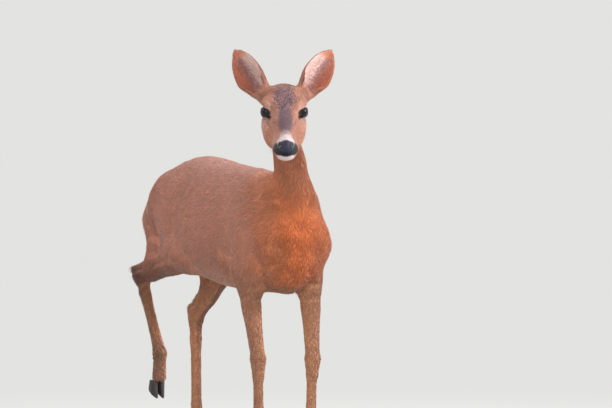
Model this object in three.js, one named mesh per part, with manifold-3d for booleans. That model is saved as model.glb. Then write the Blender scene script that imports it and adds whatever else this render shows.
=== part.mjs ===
// Roe deer doe, life size, standing on three legs in the middle of a step with the head turned to its right.
// Units are millimetres and +Z is up. The deer faces -Y and its left side is +X.
// The body is one smooth mass, written as a field that is negative inside. Each named part is a skin of
// rings laid on that mass, cut from its neighbours by flat cuts, so the parts meet with a thin gap.

import * as THREE from 'three';
import { mergeVertices } from 'three/addons/utils/BufferGeometryUtils.js';
import Module from 'manifold-3d';

const wasm = await Module();
wasm.setup();

// ---------------------------------------------------------------- driving dimensions

const GAP = 0.3;                    // clearance between parts that touch
const FAR = 900;                    // larger than the animal, for cutters that have no end

const BODY_BLEND = 26;              // how softly muscle masses run into each other
const SHOULDER_BLEND = 16;          // how softly the free forelegs run into the body
const HEAD_BLEND = 15;
const ORBIT_BLEND = 8;              // how softly the hollows in front of the eyes meet the face
const NECK_BLEND = 14;
const HIND_BLEND = 9;
const FORE_BLEND = 8;

// Corners round each ring of a skin, and how far its rays may go from the ring's middle.
const SEGMENTS = {
  trunk: 28, neck: 28, head: 32, haunch: 22, forearm: 16, cannon: 12, ear: 20, hoof: 10, dewclaw: 6,
};
const REACH = {
  chest: 230, trunk: 210, neckBase: 150, nape: 100, throat: 62,
  crown: 60, skull: 75, jaw: 66, face: 80, heel: 45, cannon: 45, foot: 40,
};

// Trunk stations from the rump to the brisket: forward, top, bottom, half width.
const TRUNK_STATIONS = [
  [-550, 604, 500, 44],
  [-500, 641, 470, 62],
  [-440, 671, 450, 82],
  [-370, 685, 422, 102],
  [-300, 683, 404, 108],
  [-215, 673, 391, 104],
  [-115, 664, 385, 94],
  [-50, 660, 386, 84],
  [20, 640, 396, 68],
  [60, 606, 420, 52],
];
const WIDEST_HEIGHT = 0.44;         // how far up the section the trunk is widest

const NECK_STATIONS = [             // forward, left, up, half depth, half width
  [6, 8, 545, 82, 74],
  [44, 8, 612, 56, 43],
  [62, -8, 675, 42, 31],
  [80, -33, 745, 39, 30],
  [106, -50, 814, 39, 32],
];

const HEAD_POLL = [130, -61, 866];  // forward, left, up of the point between the ears
const HEAD_PITCH = 40;              // degrees that the forehead falls below level
const HEAD_YAW = 25;                // degrees that the face turns to the deer's right

const EYE_RADIUS = 13.5;
const EYE_AT = [81, -28, 36.5];       // along the face, dorsal and to the side, in the head's own frame

// Ear stations from root to tip: place along the ear, half width, half of the wrap in degrees, thickness.
const EAR_STATIONS = [
  [0, 14, 140, 19],
  [0.16, 21, 132, 13],
  [0.3, 29.5, 108, 8],
  [0.48, 32, 84, 7],
  [0.68, 28, 68, 6],
  [0.84, 19, 58, 5],
  [0.94, 9, 52, 4],
  [1, 2, 50, 2.5],
];
const EAR_LENGTH = 121;
const EAR_ROOT = [22, -27, 45];     // in the head's own frame
const EAR_SPLAY = 34;               // degrees outwards from upright, seen from the front
const EAR_LEAN_BACK = 12;
const EAR_TURN_OUT = { left: 8, right: 20 };  // degrees that the opening faces outwards
const EAR_TIP_ROUND = 4;            // how far the tip stands beyond the last ring
const EAR_ROWS = [0, 0.12, 0.22, 0.32, 0.42, 0.52, 0.62, 0.72, 0.82, 0.9, 0.96];

const TAIL_ROOT = [-540, 0, 600];
const TAIL_TIP = [-576, 0, 562];
const TAIL_RADIUS = 12;

const HOOF_LENGTH = 46;
const HOOF_HALF_WIDTH = 8.4;
const HOOF_HEIGHT = 46;
const HOOF_SPACING = 9;             // from the middle of the foot to the middle of one hoof
const HOOF_WALL = 50;               // degrees of the front wall from level
const HOOF_TOE_SHARE = 0.62;        // of the length, in front of the middle of the coronet
const HOOF_TOE_TAPER = 0.45;
const HOOF_HEEL_TAPER = 0.15;
const HOOF_HEEL_LEAN = 0.1;         // backwards for each unit of height
const HOOF_TOE_IN = 1.5;
const SOLE_EDGE = { height: 5, inset: 0.8 };
const CORONET_HEIGHT = 32;          // above the sole, at the middle of the foot

const DEWCLAW_LENGTH = 19;
const DEWCLAW_RADIUS = 6;
const DEWCLAW_AT = { side: 8, back: 15, below: 12 };  // from the fetlock
const DEWCLAW_SLOPE = 58;           // degrees that the tip hangs below level

// Leg joints as forward, left, up. `cut` is how far down the cannon starts, from its top joint to the fetlock.
const FORE_LEGS = {
  left: {
    scapula: [-20, 69, 590], shoulder: [50, 60, 502], elbow: [14, 63, 425], olecranon: [-12, 64, 444],
    carpus: [38, 58, 246], fetlock: [36, 54, 88], coronet: [66, 54, CORONET_HEIGHT], cut: 0.12,
  },
  right: {
    scapula: [-50, -46, 600], shoulder: [42, -58, 500], elbow: [-38, -63, 425], olecranon: [-62, -65, 444],
    carpus: [0, -57, 246], fetlock: [-4, -53, 88], coronet: [26, -53, CORONET_HEIGHT], cut: 0.12,
  },
};

// Hind legs also list the rows of the haunch and shank: forward, up, tilt of the ring in degrees, reach.
const HAUNCH_ROWS = [[-462, 650, 0, 150], [-462, 615, 0, 150], [-462, 580, 0, 150], [-458, 545, 0, 150]];
const HIND_LEGS = {
  left: {
    hip: [-445, 48, 578], buttock: [-535, 34, 536], stifle: [-343, 74, 486], hock: [-492, 38, 314],
    heel: [-525, 38, 338], fetlock: [-474, 31, 90], coronet: [-445, 30, CORONET_HEIGHT], cut: 0.12,
    rows: [
      ...HAUNCH_ROWS, [-453, 512, 0, 140], [-448, 480, 5, 130], [-446, 454, 11, 134], [-450, 422, 18, 100],
      [-460, 396, 28, 80], [-471, 374, 35, 66], [-484, 350, 40, 60], [-493, 333, 40, 60],
      [-498, 318, 22, 50], [-495, 302, 4, 45], [-491, 278, -4, 45],
    ],
  },
  right: {
    hip: [-445, -48, 578], buttock: [-530, -34, 536], stifle: [-342, -74, 457], hock: [-558, -66, 406],
    heel: [-594, -66, 420], fetlock: [-472, -62, 238], coronet: [-476, -62, 176], cut: 0.14,
    rows: [
      ...HAUNCH_ROWS, [-455, 520, 2, 140], [-455, 496, 8, 135], [-462, 466, 18, 140], [-478, 446, 32, 100],
      [-500, 433, 48, 80], [-514, 424, 62, 60], [-529, 418, 72, 52], [-546, 412, 80, 46],
      [-564, 410, 88, 46], [-578, 413, 100, 40],
    ],
    cap: [35, 65],
  },
};

// Half depths and half widths of each length of a leg, at its start and end.
const SHOULDER_RADII = {
  blade: [[34, 40], [22, 28]], arm: [[40, 36], [28, 26]], triceps: [[34, 22], [18, 18]],
};
const FORE_RADII = {
  elbow: [[31, 25], [27, 20]], point: [[13, 14], [12, 12]], forearm: [[24, 15], [20, 15]],
  knee: [[16.5, 12.5], [16.5, 12.5]], cannon: [[12, 11.5], [11.5, 11.5]], cannonEnd: [[12, 15], [11.5, 15]],
};
const HAUNCH_RADII = {
  rump: [[54, 42], [42, 32]], thigh: [[60, 40], [44, 30]], hamstring: [[40, 22], [30, 19]],
  gaskin: [[38, 27], [29, 18]],
};
const HIND_RADII = {
  shin: [[24, 18], [17, 15.5]], tendon: [[17, 12], [12, 10]], heel: [[12, 18], [10.5, 15.5]],
  hock: [[19, 14], [15.5, 12.5]], cannon: [[13.5, 12], [12, 11.5]], cannonEnd: [[12.5, 15], [12, 15]],
};
const PASTERN_RADII = [[14, 15], [14.5, 17]];

// ---------------------------------------------------------------- places and directions

const LEFT = new THREE.Vector3(1, 0, 0);
const FORWARD = new THREE.Vector3(0, -1, 0);
const UP = new THREE.Vector3(0, 0, 1);

const spot = ([forward, left, up]) => new THREE.Vector3(left, -forward, up);
const radians = THREE.MathUtils.degToRad;
const { lerp, clamp } = THREE.MathUtils;

// The head's own frame: x runs down the forehead to the nose, y is to the deer's left and z is dorsal.
// Places in the head are written as [along, dorsal, left].
function headFrame() {
  const pitch = radians(HEAD_PITCH);
  const yaw = radians(HEAD_YAW);
  const ahead = FORWARD.clone().applyAxisAngle(UP, -yaw);
  const along = ahead.clone().multiplyScalar(Math.cos(pitch)).addScaledVector(UP, -Math.sin(pitch));
  const side = LEFT.clone().applyAxisAngle(UP, -yaw);
  const dorsal = along.clone().cross(side);
  return new THREE.Matrix4().makeBasis(along, side, dorsal).setPosition(spot(HEAD_POLL));
}
const HEAD = headFrame();
const HEAD_INVERSE = HEAD.clone().invert();
const HEAD_SIDE = new THREE.Vector3().setFromMatrixColumn(HEAD, 1);
const headSpot = ([along, dorsal, left]) => new THREE.Vector3(along, left, dorsal).applyMatrix4(HEAD);

// ---------------------------------------------------------------- fields, negative inside

function smoothMin(a, b, softness) {
  const overlap = Math.max(softness - Math.abs(a - b), 0) / softness;
  return Math.min(a, b) - overlap * overlap * softness / 4;
}

// A form with hollows taken out of it, with edges as soft as `softness`.
const hollowed = (softness, form, hollows) => (p) => hollows.reduce(
  (depth, hollow) => -smoothMin(-depth, hollow(p), softness), form(p));

const union = (softness, fields) => (p) => fields.reduce((low, field) => smoothMin(low, field(p), softness), FAR);

// A limb length with oval sections: `deep` across the limb and `wide` to the side, each at start and end.
function limb(start, end, deep, wide, side = LEFT) {
  const axis = end.clone().sub(start);
  const lengthSquared = axis.lengthSq();
  return (p) => {
    const offset = p.clone().sub(start);
    const t = clamp(offset.dot(axis) / lengthSquared, 0, 1);
    offset.addScaledVector(axis, -t);
    const sideways = offset.dot(side);
    const across = Math.sqrt(Math.max(offset.lengthSq() - sideways * sideways, 0));
    const depth = lerp(deep[0], deep[1], t);
    const width = lerp(wide[0], wide[1], t);
    return (Math.hypot(sideways / width, across / depth) - 1) * Math.min(width, depth);
  };
}

// An ellipsoid whose radii run forward, to the side and up.
function lump(center, [deep, wide, tall]) {
  return (p) => {
    const q = p.clone().sub(center);
    return (Math.hypot(q.y / deep, q.x / wide, q.z / tall) - 1) * Math.min(deep, wide, tall);
  };
}

// The same in the head's frame: radii run along the face, dorsally and to the side.
function headLump(center, [long, tall, wide]) {
  return (p) => {
    const q = p.clone().applyMatrix4(HEAD_INVERSE);
    const reach = Math.hypot((q.x - center[0]) / long, (q.z - center[1]) / tall, (q.y - center[2]) / wide);
    return (reach - 1) * Math.min(long, tall, wide);
  };
}

// A smooth curve through stations whose first value rises; gives the other values at any place between.
function stationValues(stations, place) {
  const last = stations.length - 1;
  const at = clamp(place, stations[0][0], stations[last][0]);
  let i = 0;
  while (i < last - 1 && at > stations[i + 1][0]) i++;
  const slope = (j, k) => {
    const before = stations[Math.max(j - 1, 0)];
    const after = stations[Math.min(j + 1, last)];
    return (after[k] - before[k]) / (after[0] - before[0]);
  };
  const [a, b] = [stations[i], stations[i + 1]];
  const step = b[0] - a[0];
  const t = (at - a[0]) / step;
  return a.slice(1).map((value, index) => {
    const k = index + 1;
    const hermiteA = value * (1 + 2 * t) * (1 - t) ** 2 + slope(i, k) * step * t * (1 - t) ** 2;
    const hermiteB = b[k] * t * t * (3 - 2 * t) + slope(i + 1, k) * step * t * t * (t - 1);
    return hermiteA + hermiteB;
  });
}

function trunkField(p) {
  const forward = -p.y;
  const [top, bottom, half] = stationValues(TRUNK_STATIONS, forward);
  const middle = lerp(bottom, top, WIDEST_HEIGHT);
  const rise = p.z > middle ? top - middle : middle - bottom;
  const section = (Math.hypot(p.x / half, (p.z - middle) / rise) - 1) * Math.min(half, rise);
  const back = TRUNK_STATIONS[0][0] - forward;
  const front = forward - TRUNK_STATIONS[TRUNK_STATIONS.length - 1][0];
  return Math.max(section, front, back);
}

function neckField() {
  const lengths = [];
  for (let i = 0; i < NECK_STATIONS.length - 1; i++) {
    const [a, b] = [NECK_STATIONS[i], NECK_STATIONS[i + 1]];
    lengths.push(limb(spot(a), spot(b), [a[3], b[3]], [a[4], b[4]]));
  }
  return union(NECK_BLEND, lengths);
}

function chestField() {
  return union(BODY_BLEND, [
    lump(spot([20, 0, 508]), [84, 62, 94]),
    lump(spot([40, 0, 448]), [58, 38, 54]),
  ]);
}

function shoulderField(leg) {
  const scapula = spot(leg.scapula);
  return union(BODY_BLEND, [
    limb(scapula, spot(leg.shoulder), ...SHOULDER_RADII.blade),
    limb(spot(leg.shoulder), spot(leg.elbow), ...SHOULDER_RADII.arm),
    limb(scapula, spot(leg.olecranon), ...SHOULDER_RADII.triceps),
  ]);
}

function foreLegField(leg) {
  const [elbow, carpus, fetlock, coronet] = [leg.elbow, leg.carpus, leg.fetlock, leg.coronet].map(spot);
  const forearm = elbow.clone().lerp(carpus, 0.35);
  const cannonTop = carpus.clone().lerp(fetlock, 0.22);
  const cannonEnd = carpus.clone().lerp(fetlock, 0.82);
  return union(FORE_BLEND, [
    limb(elbow, forearm, ...FORE_RADII.elbow),
    limb(spot(leg.olecranon), forearm, ...FORE_RADII.point),
    limb(forearm, carpus, ...FORE_RADII.forearm),
    limb(carpus, cannonTop, ...FORE_RADII.knee),
    limb(cannonTop, cannonEnd, ...FORE_RADII.cannon),
    limb(cannonEnd, fetlock, ...FORE_RADII.cannonEnd),
    limb(fetlock, coronet, ...PASTERN_RADII),
  ]);
}

function hindLegField(leg) {
  const [hip, buttock, stifle, hock] = [leg.hip, leg.buttock, leg.stifle, leg.hock].map(spot);
  const [heel, fetlock, coronet] = [leg.heel, leg.fetlock, leg.coronet].map(spot);
  const hamstring = stifle.clone().lerp(hock, 0.62).add(new THREE.Vector3(0, 8, 22));
  const shin = stifle.clone().lerp(hock, 0.72);
  const cannonTop = hock.clone().lerp(fetlock, 0.2);
  const cannonEnd = hock.clone().lerp(fetlock, 0.86);
  const muscle = union(BODY_BLEND, [
    limb(hip, buttock, ...HAUNCH_RADII.rump),
    limb(hip, stifle, ...HAUNCH_RADII.thigh),
    limb(buttock, hamstring, ...HAUNCH_RADII.hamstring),
    limb(stifle, shin, ...HAUNCH_RADII.gaskin),
  ]);
  return union(HIND_BLEND, [
    muscle,
    limb(shin, hock, ...HIND_RADII.shin),
    limb(hamstring, heel, ...HIND_RADII.tendon),
    limb(heel, hock, ...HIND_RADII.heel),
    limb(hock, cannonTop, ...HIND_RADII.hock),
    limb(cannonTop, cannonEnd, ...HIND_RADII.cannon),
    limb(cannonEnd, fetlock, ...HIND_RADII.cannonEnd),
    limb(fetlock, coronet, ...PASTERN_RADII),
  ]);
}

function headField() {
  const earBase = (side) => headSpot([EAR_ROOT[0], EAR_ROOT[1], EAR_ROOT[2] * side]);
  const paired = [-1, 1].flatMap((side) => [
    headLump([69, -18, side * 31], [20, 18, 18]),
    headLump([84, -60, side * 27], [42, 32, 21]),
    headLump([106, -74, side * 22], [36, 26, 20]),
    headLump([170, -50, side * 12], [28, 13, 17]),
    limb(headSpot([58, -78, side * 18]), headSpot([176, -56, side * 4]), [24, 9], [24, 9], HEAD_SIDE),
    limb(headSpot([28, -32, side * 22]), earBase(side), [24, 20], [24, 20], HEAD_SIDE),
  ]);
  const beforeEyes = [-1, 1].map((side) =>
    limb(headSpot([91, -21, side * 44]), headSpot([122, 4, side * 49]), [12, 15], [12, 15], HEAD_SIDE));
  const form = union(HEAD_BLEND, [
    headLump([45, -36, 0], [45, 32, 38]),
    headLump([82, -22, 0], [60, 20, 34]),
    limb(headSpot([90, -38, 0]), headSpot([186, -36, 0]), [34, 19], [30, 18], HEAD_SIDE),
    headLump([189, -34, 0], [21, 17, 17]),
    headLump([187, -53, 0], [17, 10, 15]),
    ...paired,
  ]);
  return hollowed(ORBIT_BLEND, form, beforeEyes);
}

const bodyField = union(BODY_BLEND, [
  trunkField,
  chestField(),
  shoulderField(FORE_LEGS.left),
  shoulderField(FORE_LEGS.right),
  neckField(),
  hindLegField(HIND_LEGS.left),
  hindLegField(HIND_LEGS.right),
]);
const animalField = union(SHOULDER_BLEND, [bodyField, foreLegField(FORE_LEGS.left), foreLegField(FORE_LEGS.right)]);
const wholeField = union(HEAD_BLEND, [animalField, headField()]);

// ---------------------------------------------------------------- skins of rings on a field

// How far from `origin` along `direction` the field's surface lies, up to `reach`.
function surfaceDistance(field, origin, direction, reach) {
  const step = 4;
  const p = new THREE.Vector3();
  const depthAt = (r) => field(p.copy(direction).multiplyScalar(r).add(origin));
  let far = step;
  while (far < reach && depthAt(far) < 0) far += step;
  if (far >= reach) return reach;
  let near = far - step;
  for (let i = 0; i < 12; i++) {
    const middle = (near + far) / 2;
    if (depthAt(middle) < 0) near = middle;
    else far = middle;
  }
  return near;
}

// One row of a skin. `heading` is the way the rows advance and `side` is one axis of the ring. The rays of
// the row lean `lean` degrees from the ring's plane towards the heading, and a row with `pole` is one point.
function row(origin, heading, side, { lean = 0, reach = FAR, pole = null } = {}) {
  return { origin, heading: heading.clone().normalize(), side, lean: radians(lean), reach, pole };
}

function rowPoints(field, { origin, heading, side, lean, reach, pole }, segments) {
  if (pole !== null) {
    const direction = heading.clone().multiplyScalar(Math.sign(pole) || 1);
    const distance = pole === 0 ? 0 : surfaceDistance(field, origin, direction, reach);
    return [origin.clone().addScaledVector(direction, distance)];
  }
  const across = heading.clone().cross(side).normalize();
  const level = across.clone().cross(heading).normalize();
  return Array.from({ length: segments }, (_, i) => {
    const angle = 2 * Math.PI * i / segments;
    const direction = level.clone().multiplyScalar(Math.cos(angle) * Math.cos(lean))
      .addScaledVector(across, Math.sin(angle) * Math.cos(lean))
      .addScaledVector(heading, Math.sin(lean));
    return origin.clone().addScaledVector(direction, surfaceDistance(field, origin, direction, reach));
  });
}

// A closed geometry from rows of points whose first and last rows are single points.
function ringGeometry(rows) {
  const index = [];
  const starts = [];
  let count = 0;
  for (const points of rows) {
    starts.push(count);
    count += points.length;
  }
  for (let r = 0; r < rows.length - 1; r++) {
    const segments = Math.max(rows[r].length, rows[r + 1].length);
    for (let i = 0; i < segments; i++) {
      const next = (i + 1) % segments;
      const a = starts[r] + (rows[r].length === 1 ? 0 : i);
      const b = starts[r] + (rows[r].length === 1 ? 0 : next);
      const c = starts[r + 1] + (rows[r + 1].length === 1 ? 0 : i);
      const d = starts[r + 1] + (rows[r + 1].length === 1 ? 0 : next);
      if (a !== b) index.push(a, b, d);
      if (c !== d) index.push(a, d, c);
    }
  }
  const geometry = new THREE.BufferGeometry().setFromPoints(rows.flat());
  geometry.setIndex(index);
  return geometry;
}

const skin = (field, rows, segments) => ringGeometry(rows.map((r) => rowPoints(field, r, segments)));

// A single point in the middle of a row, which closes a skin with a flat fan.
const cap = ({ origin, heading, side }) => row(origin, heading, side, { pole: 0 });

function flatEnded(field, rows, segments) {
  return skin(field, [cap(rows[0]), ...rows, cap(rows[rows.length - 1])], segments);
}

// ---------------------------------------------------------------- solids and flat cuts

function solid(geometry) {
  const bare = geometry.clone();
  bare.deleteAttribute('normal');
  bare.deleteAttribute('uv');
  const merged = mergeVertices(bare, 1e-4);
  const vertProperties = new Float32Array(merged.attributes.position.array);
  const triVerts = new Uint32Array(merged.index.array);
  return new wasm.Manifold(new wasm.Mesh({ numProp: 3, vertProperties, triVerts }));
}

function geometryOf(manifold) {
  const mesh = manifold.getMesh();
  const geometry = new THREE.BufferGeometry();
  geometry.setAttribute('position', new THREE.BufferAttribute(new Float32Array(mesh.vertProperties), 3));
  geometry.setIndex(new THREE.BufferAttribute(new Uint32Array(mesh.triVerts), 1));
  geometry.computeVertexNormals();
  return geometry;
}

// Everything beyond the plane through `point`, on the side that `normal` points to.
function beyond(point, normal) {
  const box = new THREE.BoxGeometry(FAR, FAR, FAR);
  const turn = new THREE.Quaternion().setFromUnitVectors(UP, normal.clone().normalize());
  box.applyQuaternion(turn);
  const middle = point.clone().addScaledVector(normal.clone().normalize(), FAR / 2);
  return solid(box.translate(middle.x, middle.y, middle.z));
}

// Cuts two neighbours apart at a plane. The first keeps the side that `normal` points away from.
function cutAway(piece, point, normal) {
  const unit = normal.clone().normalize();
  return piece.subtract(beyond(point.clone().addScaledVector(unit, -GAP / 2), unit));
}

// ---------------------------------------------------------------- the cuts between parts

const CHEST_FAN = [-85, 6, 698];    // forward, left, up of the line above the withers
const CHEST_AXIS_DROP = 165;        // from that line down to the middle of each row
const CHEST_TURNS = [0, 0.14, 0.29, 0.45, 0.62, 0.8];  // shares of the turn from the neck's base to upright
const NECK_BASE = { point: spot([44, 6, 595.3]), normal: new THREE.Vector3(0, -0.62, 0.78) };
const OVERRUN = 3;                  // how far a skin runs past the cut that trims it
const LEG_BOX = { slope: 63.4, long: 178, side: 34, up: 386, behind: 5 };

// The head's outline from the side, as along and dorsal, open to the front: nape, throat and under the jaw.
function headPrism(inset) {
  const outline = new THREE.Shape([
    new THREE.Vector2(-16 + inset, 150),
    new THREE.Vector2(-16 + inset, -8),
    new THREE.Vector2(44 + inset, -112 + inset),
    new THREE.Vector2(120, -190 + inset),
    new THREE.Vector2(320, -190),
    new THREE.Vector2(320, 150),
  ]);
  const wide = 300;
  const prism = new THREE.ExtrudeGeometry(outline, { depth: wide, bevelEnabled: false });
  const columns = [0, 2, 1].map((i) => new THREE.Vector3().setFromMatrixColumn(HEAD, i));
  const across = columns[0].clone().cross(columns[1]);
  const frame = new THREE.Matrix4().makeBasis(columns[0], columns[1], across);
  frame.setPosition(headSpot([0, 0, 0]).addScaledVector(across, -wide / 2));
  return solid(prism.applyMatrix4(frame));
}

// Side view outline of the haunch, as forward and up, shrunk by `inset` where it meets the trunk.
function haunchPrism(side, inset) {
  const outline = new THREE.Shape([
    new THREE.Vector2(-290 - inset, 250),
    new THREE.Vector2(-372 - inset, 560 - inset),
    new THREE.Vector2(-660, 622 - inset),
    new THREE.Vector2(-700, 250),
  ]);
  const prism = new THREE.ExtrudeGeometry(outline, { depth: 200, bevelEnabled: false });
  const basis = new THREE.Matrix4().makeBasis(FORWARD, UP, LEFT.clone().negate());
  prism.applyMatrix4(basis);
  prism.translate(side > 0 ? 200 + inset : -inset, 0, 0);
  return solid(prism);
}

// The box, outside and below the brisket, that holds one free foreleg from the elbow down.
function foreLegBox(leg, inset) {
  const side = Math.sign(leg.elbow[1]);
  const box = new THREE.BoxGeometry(FAR, LEG_BOX.long - 2 * inset, FAR);
  box.translate(FAR / 2 + inset, 0, 0);
  box.rotateY(radians(90 - LEG_BOX.slope));
  box.translate(LEG_BOX.side, 0, LEG_BOX.up);
  if (side < 0) box.applyMatrix4(new THREE.Matrix4().makeRotationZ(Math.PI));
  return solid(box.translate(0, -leg.elbow[0] - LEG_BOX.behind, 0));
}

const group = new THREE.Group();
const coat = new THREE.MeshStandardMaterial({ color: 0xa8643c, roughness: 0.85, metalness: 0 });
const horn = new THREE.MeshStandardMaterial({ color: 0x2a2422, roughness: 0.45, metalness: 0 });
const eyeGloss = new THREE.MeshStandardMaterial({ color: 0x140e0a, roughness: 0.08, metalness: 0 });

function add(name, manifold, material) {
  const mesh = new THREE.Mesh(geometryOf(manifold), material);
  mesh.name = name;
  group.add(mesh);
}

// ---------------------------------------------------------------- tail

function tailSolid(grow) {
  const root = spot(TAIL_ROOT);
  const tip = spot(TAIL_TIP);
  const length = root.distanceTo(tip);
  const tail = new THREE.CapsuleGeometry(TAIL_RADIUS + grow, length, 3, 10);
  const along = tip.clone().sub(root).normalize();
  tail.applyQuaternion(new THREE.Quaternion().setFromUnitVectors(new THREE.Vector3(0, 1, 0), along));
  const middle = root.lerp(tip, 0.5);
  return solid(tail.translate(middle.x, middle.y, middle.z));
}

add('tail', tailSolid(0), coat);

// ---------------------------------------------------------------- trunk

// The rows of the chest fan about a line above the withers, from the neck's base plane down to upright.
function chestRows() {
  const start = Math.atan2(-NECK_BASE.normal.y, NECK_BASE.normal.z);
  return CHEST_TURNS.map((turn) => {
    const angle = lerp(start, Math.PI / 2, turn);
    const slope = new THREE.Vector3(0, -Math.cos(angle), -Math.sin(angle));
    const heading = new THREE.Vector3(0, Math.sin(angle), -Math.cos(angle));
    const middle = spot(CHEST_FAN).addScaledVector(slope, CHEST_AXIS_DROP);
    return row(middle, heading, LEFT, { reach: REACH.chest });
  });
}

function trunkSolid() {
  const back = FORWARD.clone().negate();
  const axis = (forward) => spot([forward, 0, lerp(540, 585, (40 - forward) / 560)]);
  const rows = chestRows();
  rows.unshift({ ...rows[0], origin: rows[0].origin.clone().addScaledVector(NECK_BASE.normal, OVERRUN) });
  for (const forward of [-85, -120, -165, -210, -260, -305, -345, -385, -425, -460, -490]) {
    rows.push(row(axis(forward), back, LEFT, { reach: REACH.trunk }));
  }
  const rump = axis(-500);
  for (const lean of [25, 48, 70]) rows.push(row(rump, back, LEFT, { lean, reach: REACH.trunk }));
  rows.push(row(rump, back, LEFT, { pole: 1 }));
  let trunk = solid(skin(bodyField, [cap(rows[0]), ...rows], SEGMENTS.trunk));
  trunk = cutAway(trunk, NECK_BASE.point, NECK_BASE.normal);
  for (const side of [-1, 1]) trunk = trunk.subtract(haunchPrism(side, 0));
  for (const leg of Object.values(FORE_LEGS)) trunk = trunk.subtract(foreLegBox(leg, 0));
  return trunk.subtract(tailSolid(GAP));
}

add('trunk', trunkSolid(), coat);

// ---------------------------------------------------------------- neck

function neckSolid() {
  const base = NECK_BASE.point;
  const curve = new THREE.CatmullRomCurve3([base, ...NECK_STATIONS.slice(2).map(spot)]);
  const top = headSpot([1, 0.5, 0]).sub(headSpot([0, 0, 0]));
  const start = base.clone().addScaledVector(NECK_BASE.normal, -OVERRUN);
  const rows = [row(start, NECK_BASE.normal, LEFT, { reach: REACH.neckBase })];
  const steps = 11;
  for (let i = 0; i <= steps; i++) {
    const t = i / steps;
    const heading = NECK_BASE.normal.clone().lerp(top, t);
    rows.push(row(curve.getPoint(t), heading, LEFT, { reach: lerp(REACH.neckBase, REACH.nape, t) }));
  }
  rows.push(row(headSpot([34, -64, 0]), top, LEFT, { reach: REACH.throat }));
  const neck = solid(flatEnded(wholeField, rows, SEGMENTS.neck));
  return cutAway(neck, NECK_BASE.point, NECK_BASE.normal.clone().negate()).subtract(headPrism(0));
}

add('neck', neckSolid(), coat);

// ---------------------------------------------------------------- head, eyes and ears

const headPlace = (side, [along, dorsal, out]) => headSpot([along, dorsal, out * side]);

function eyeSolid(side, radius) {
  const ball = new THREE.SphereGeometry(radius, 12, 8);
  const center = headPlace(side, EYE_AT);
  return solid(ball.translate(center.x, center.y, center.z));
}

// The ear's frame: x across to the outer rim, y towards the tip, z out of the opening.
function earFrame(side) {
  const yaw = radians(-HEAD_YAW);
  const ahead = FORWARD.clone().applyAxisAngle(UP, yaw);
  const outward = LEFT.clone().applyAxisAngle(UP, yaw).multiplyScalar(side);
  const along = UP.clone().multiplyScalar(Math.cos(radians(EAR_SPLAY)))
    .addScaledVector(outward, Math.sin(radians(EAR_SPLAY)))
    .addScaledVector(ahead, -Math.sin(radians(EAR_LEAN_BACK))).normalize();
  const turn = radians(side > 0 ? EAR_TURN_OUT.left : EAR_TURN_OUT.right);
  const facing = ahead.clone().multiplyScalar(Math.cos(turn)).addScaledVector(outward, Math.sin(turn));
  const across = along.clone().cross(facing).normalize();
  const opening = across.clone().cross(along);
  return new THREE.Matrix4().makeBasis(across, along, opening).setPosition(headPlace(side, EAR_ROOT));
}

// One ring of the ear: an arc that is thick in the middle and thin at its rims. Its back is on the y axis at
// the root and swings forward so that the rolled root stays centred.
function earRing(place, frame, segments, grow) {
  const [half, wrapDegrees, thickness] = stationValues(EAR_STATIONS, place);
  const wrap = radians(wrapDegrees);
  const radius = wrap > Math.PI / 2 ? half : half / Math.sin(wrap);
  const halfTurn = segments / 2;
  return Array.from({ length: segments }, (_, i) => {
    const outer = i <= halfTurn;
    const across = outer ? 1 - 2 * i / halfTurn : -1 + 2 * (i - halfTurn) / halfTurn;
    const bulge = thickness / 2 * Math.sqrt(1 - across * across);
    const r = radius + (outer ? bulge + grow : -bulge - grow);
    const angle = across * (wrap + grow / radius);
    const forward = radius - r * Math.cos(angle) - EAR_STATIONS[0][1];
    return new THREE.Vector3(r * Math.sin(angle), place * EAR_LENGTH, forward).applyMatrix4(frame);
  });
}

// An ear with its root buried in the head, or grown by `grow` to cut the head's socket.
function earSolid(side, grow) {
  const frame = earFrame(side);
  const rows = EAR_ROWS.map((place) => earRing(place, frame, SEGMENTS.ear, grow));
  const middle = (ring) => ring.reduce((sum, p) => sum.add(p), new THREE.Vector3()).divideScalar(ring.length);
  const along = new THREE.Vector3().setFromMatrixColumn(frame, 1);
  const root = middle(rows[0]).addScaledVector(along, -grow);
  const tip = middle(rows[rows.length - 1]).addScaledVector(along, EAR_TIP_ROUND + grow);
  return solid(ringGeometry([[root], ...rows, [tip]]));
}

function headSolid() {
  const heading = new THREE.Vector3().setFromMatrixColumn(HEAD, 0);
  const at = (along) => headSpot([along, lerp(-46, -42, along / 200), 0]);
  const rows = [row(at(20), heading, HEAD_SIDE, { pole: -1, reach: REACH.crown })];
  for (const lean of [-60, -32]) rows.push(row(at(20), heading, HEAD_SIDE, { lean, reach: REACH.skull }));
  for (const along of [22, 34, 46, 57, 67, 77, 87, 98, 110, 122, 134, 146, 157, 167, 177]) {
    rows.push(row(at(along), heading, HEAD_SIDE, { reach: along < 90 ? REACH.jaw : REACH.face }));
  }
  const nose = at(182);
  for (const lean of [22, 42, 60, 76]) rows.push(row(nose, heading, HEAD_SIDE, { lean, reach: REACH.face }));
  rows.push(row(nose, heading, HEAD_SIDE, { pole: 1 }));
  let head = solid(skin(wholeField, rows, SEGMENTS.head));
  head = head.intersect(headPrism(GAP));
  for (const side of [-1, 1]) {
    head = head.subtract(earSolid(side, GAP)).subtract(eyeSolid(side, EYE_RADIUS + GAP));
  }
  return head;
}

add('head', headSolid(), coat);
for (const [name, side] of [['left', 1], ['right', -1]]) {
  add(`ear_${name}`, earSolid(side, 0), coat);
  add(`eye_${name}`, eyeSolid(side, EYE_RADIUS), eyeGloss);
}

// ---------------------------------------------------------------- feet

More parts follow.
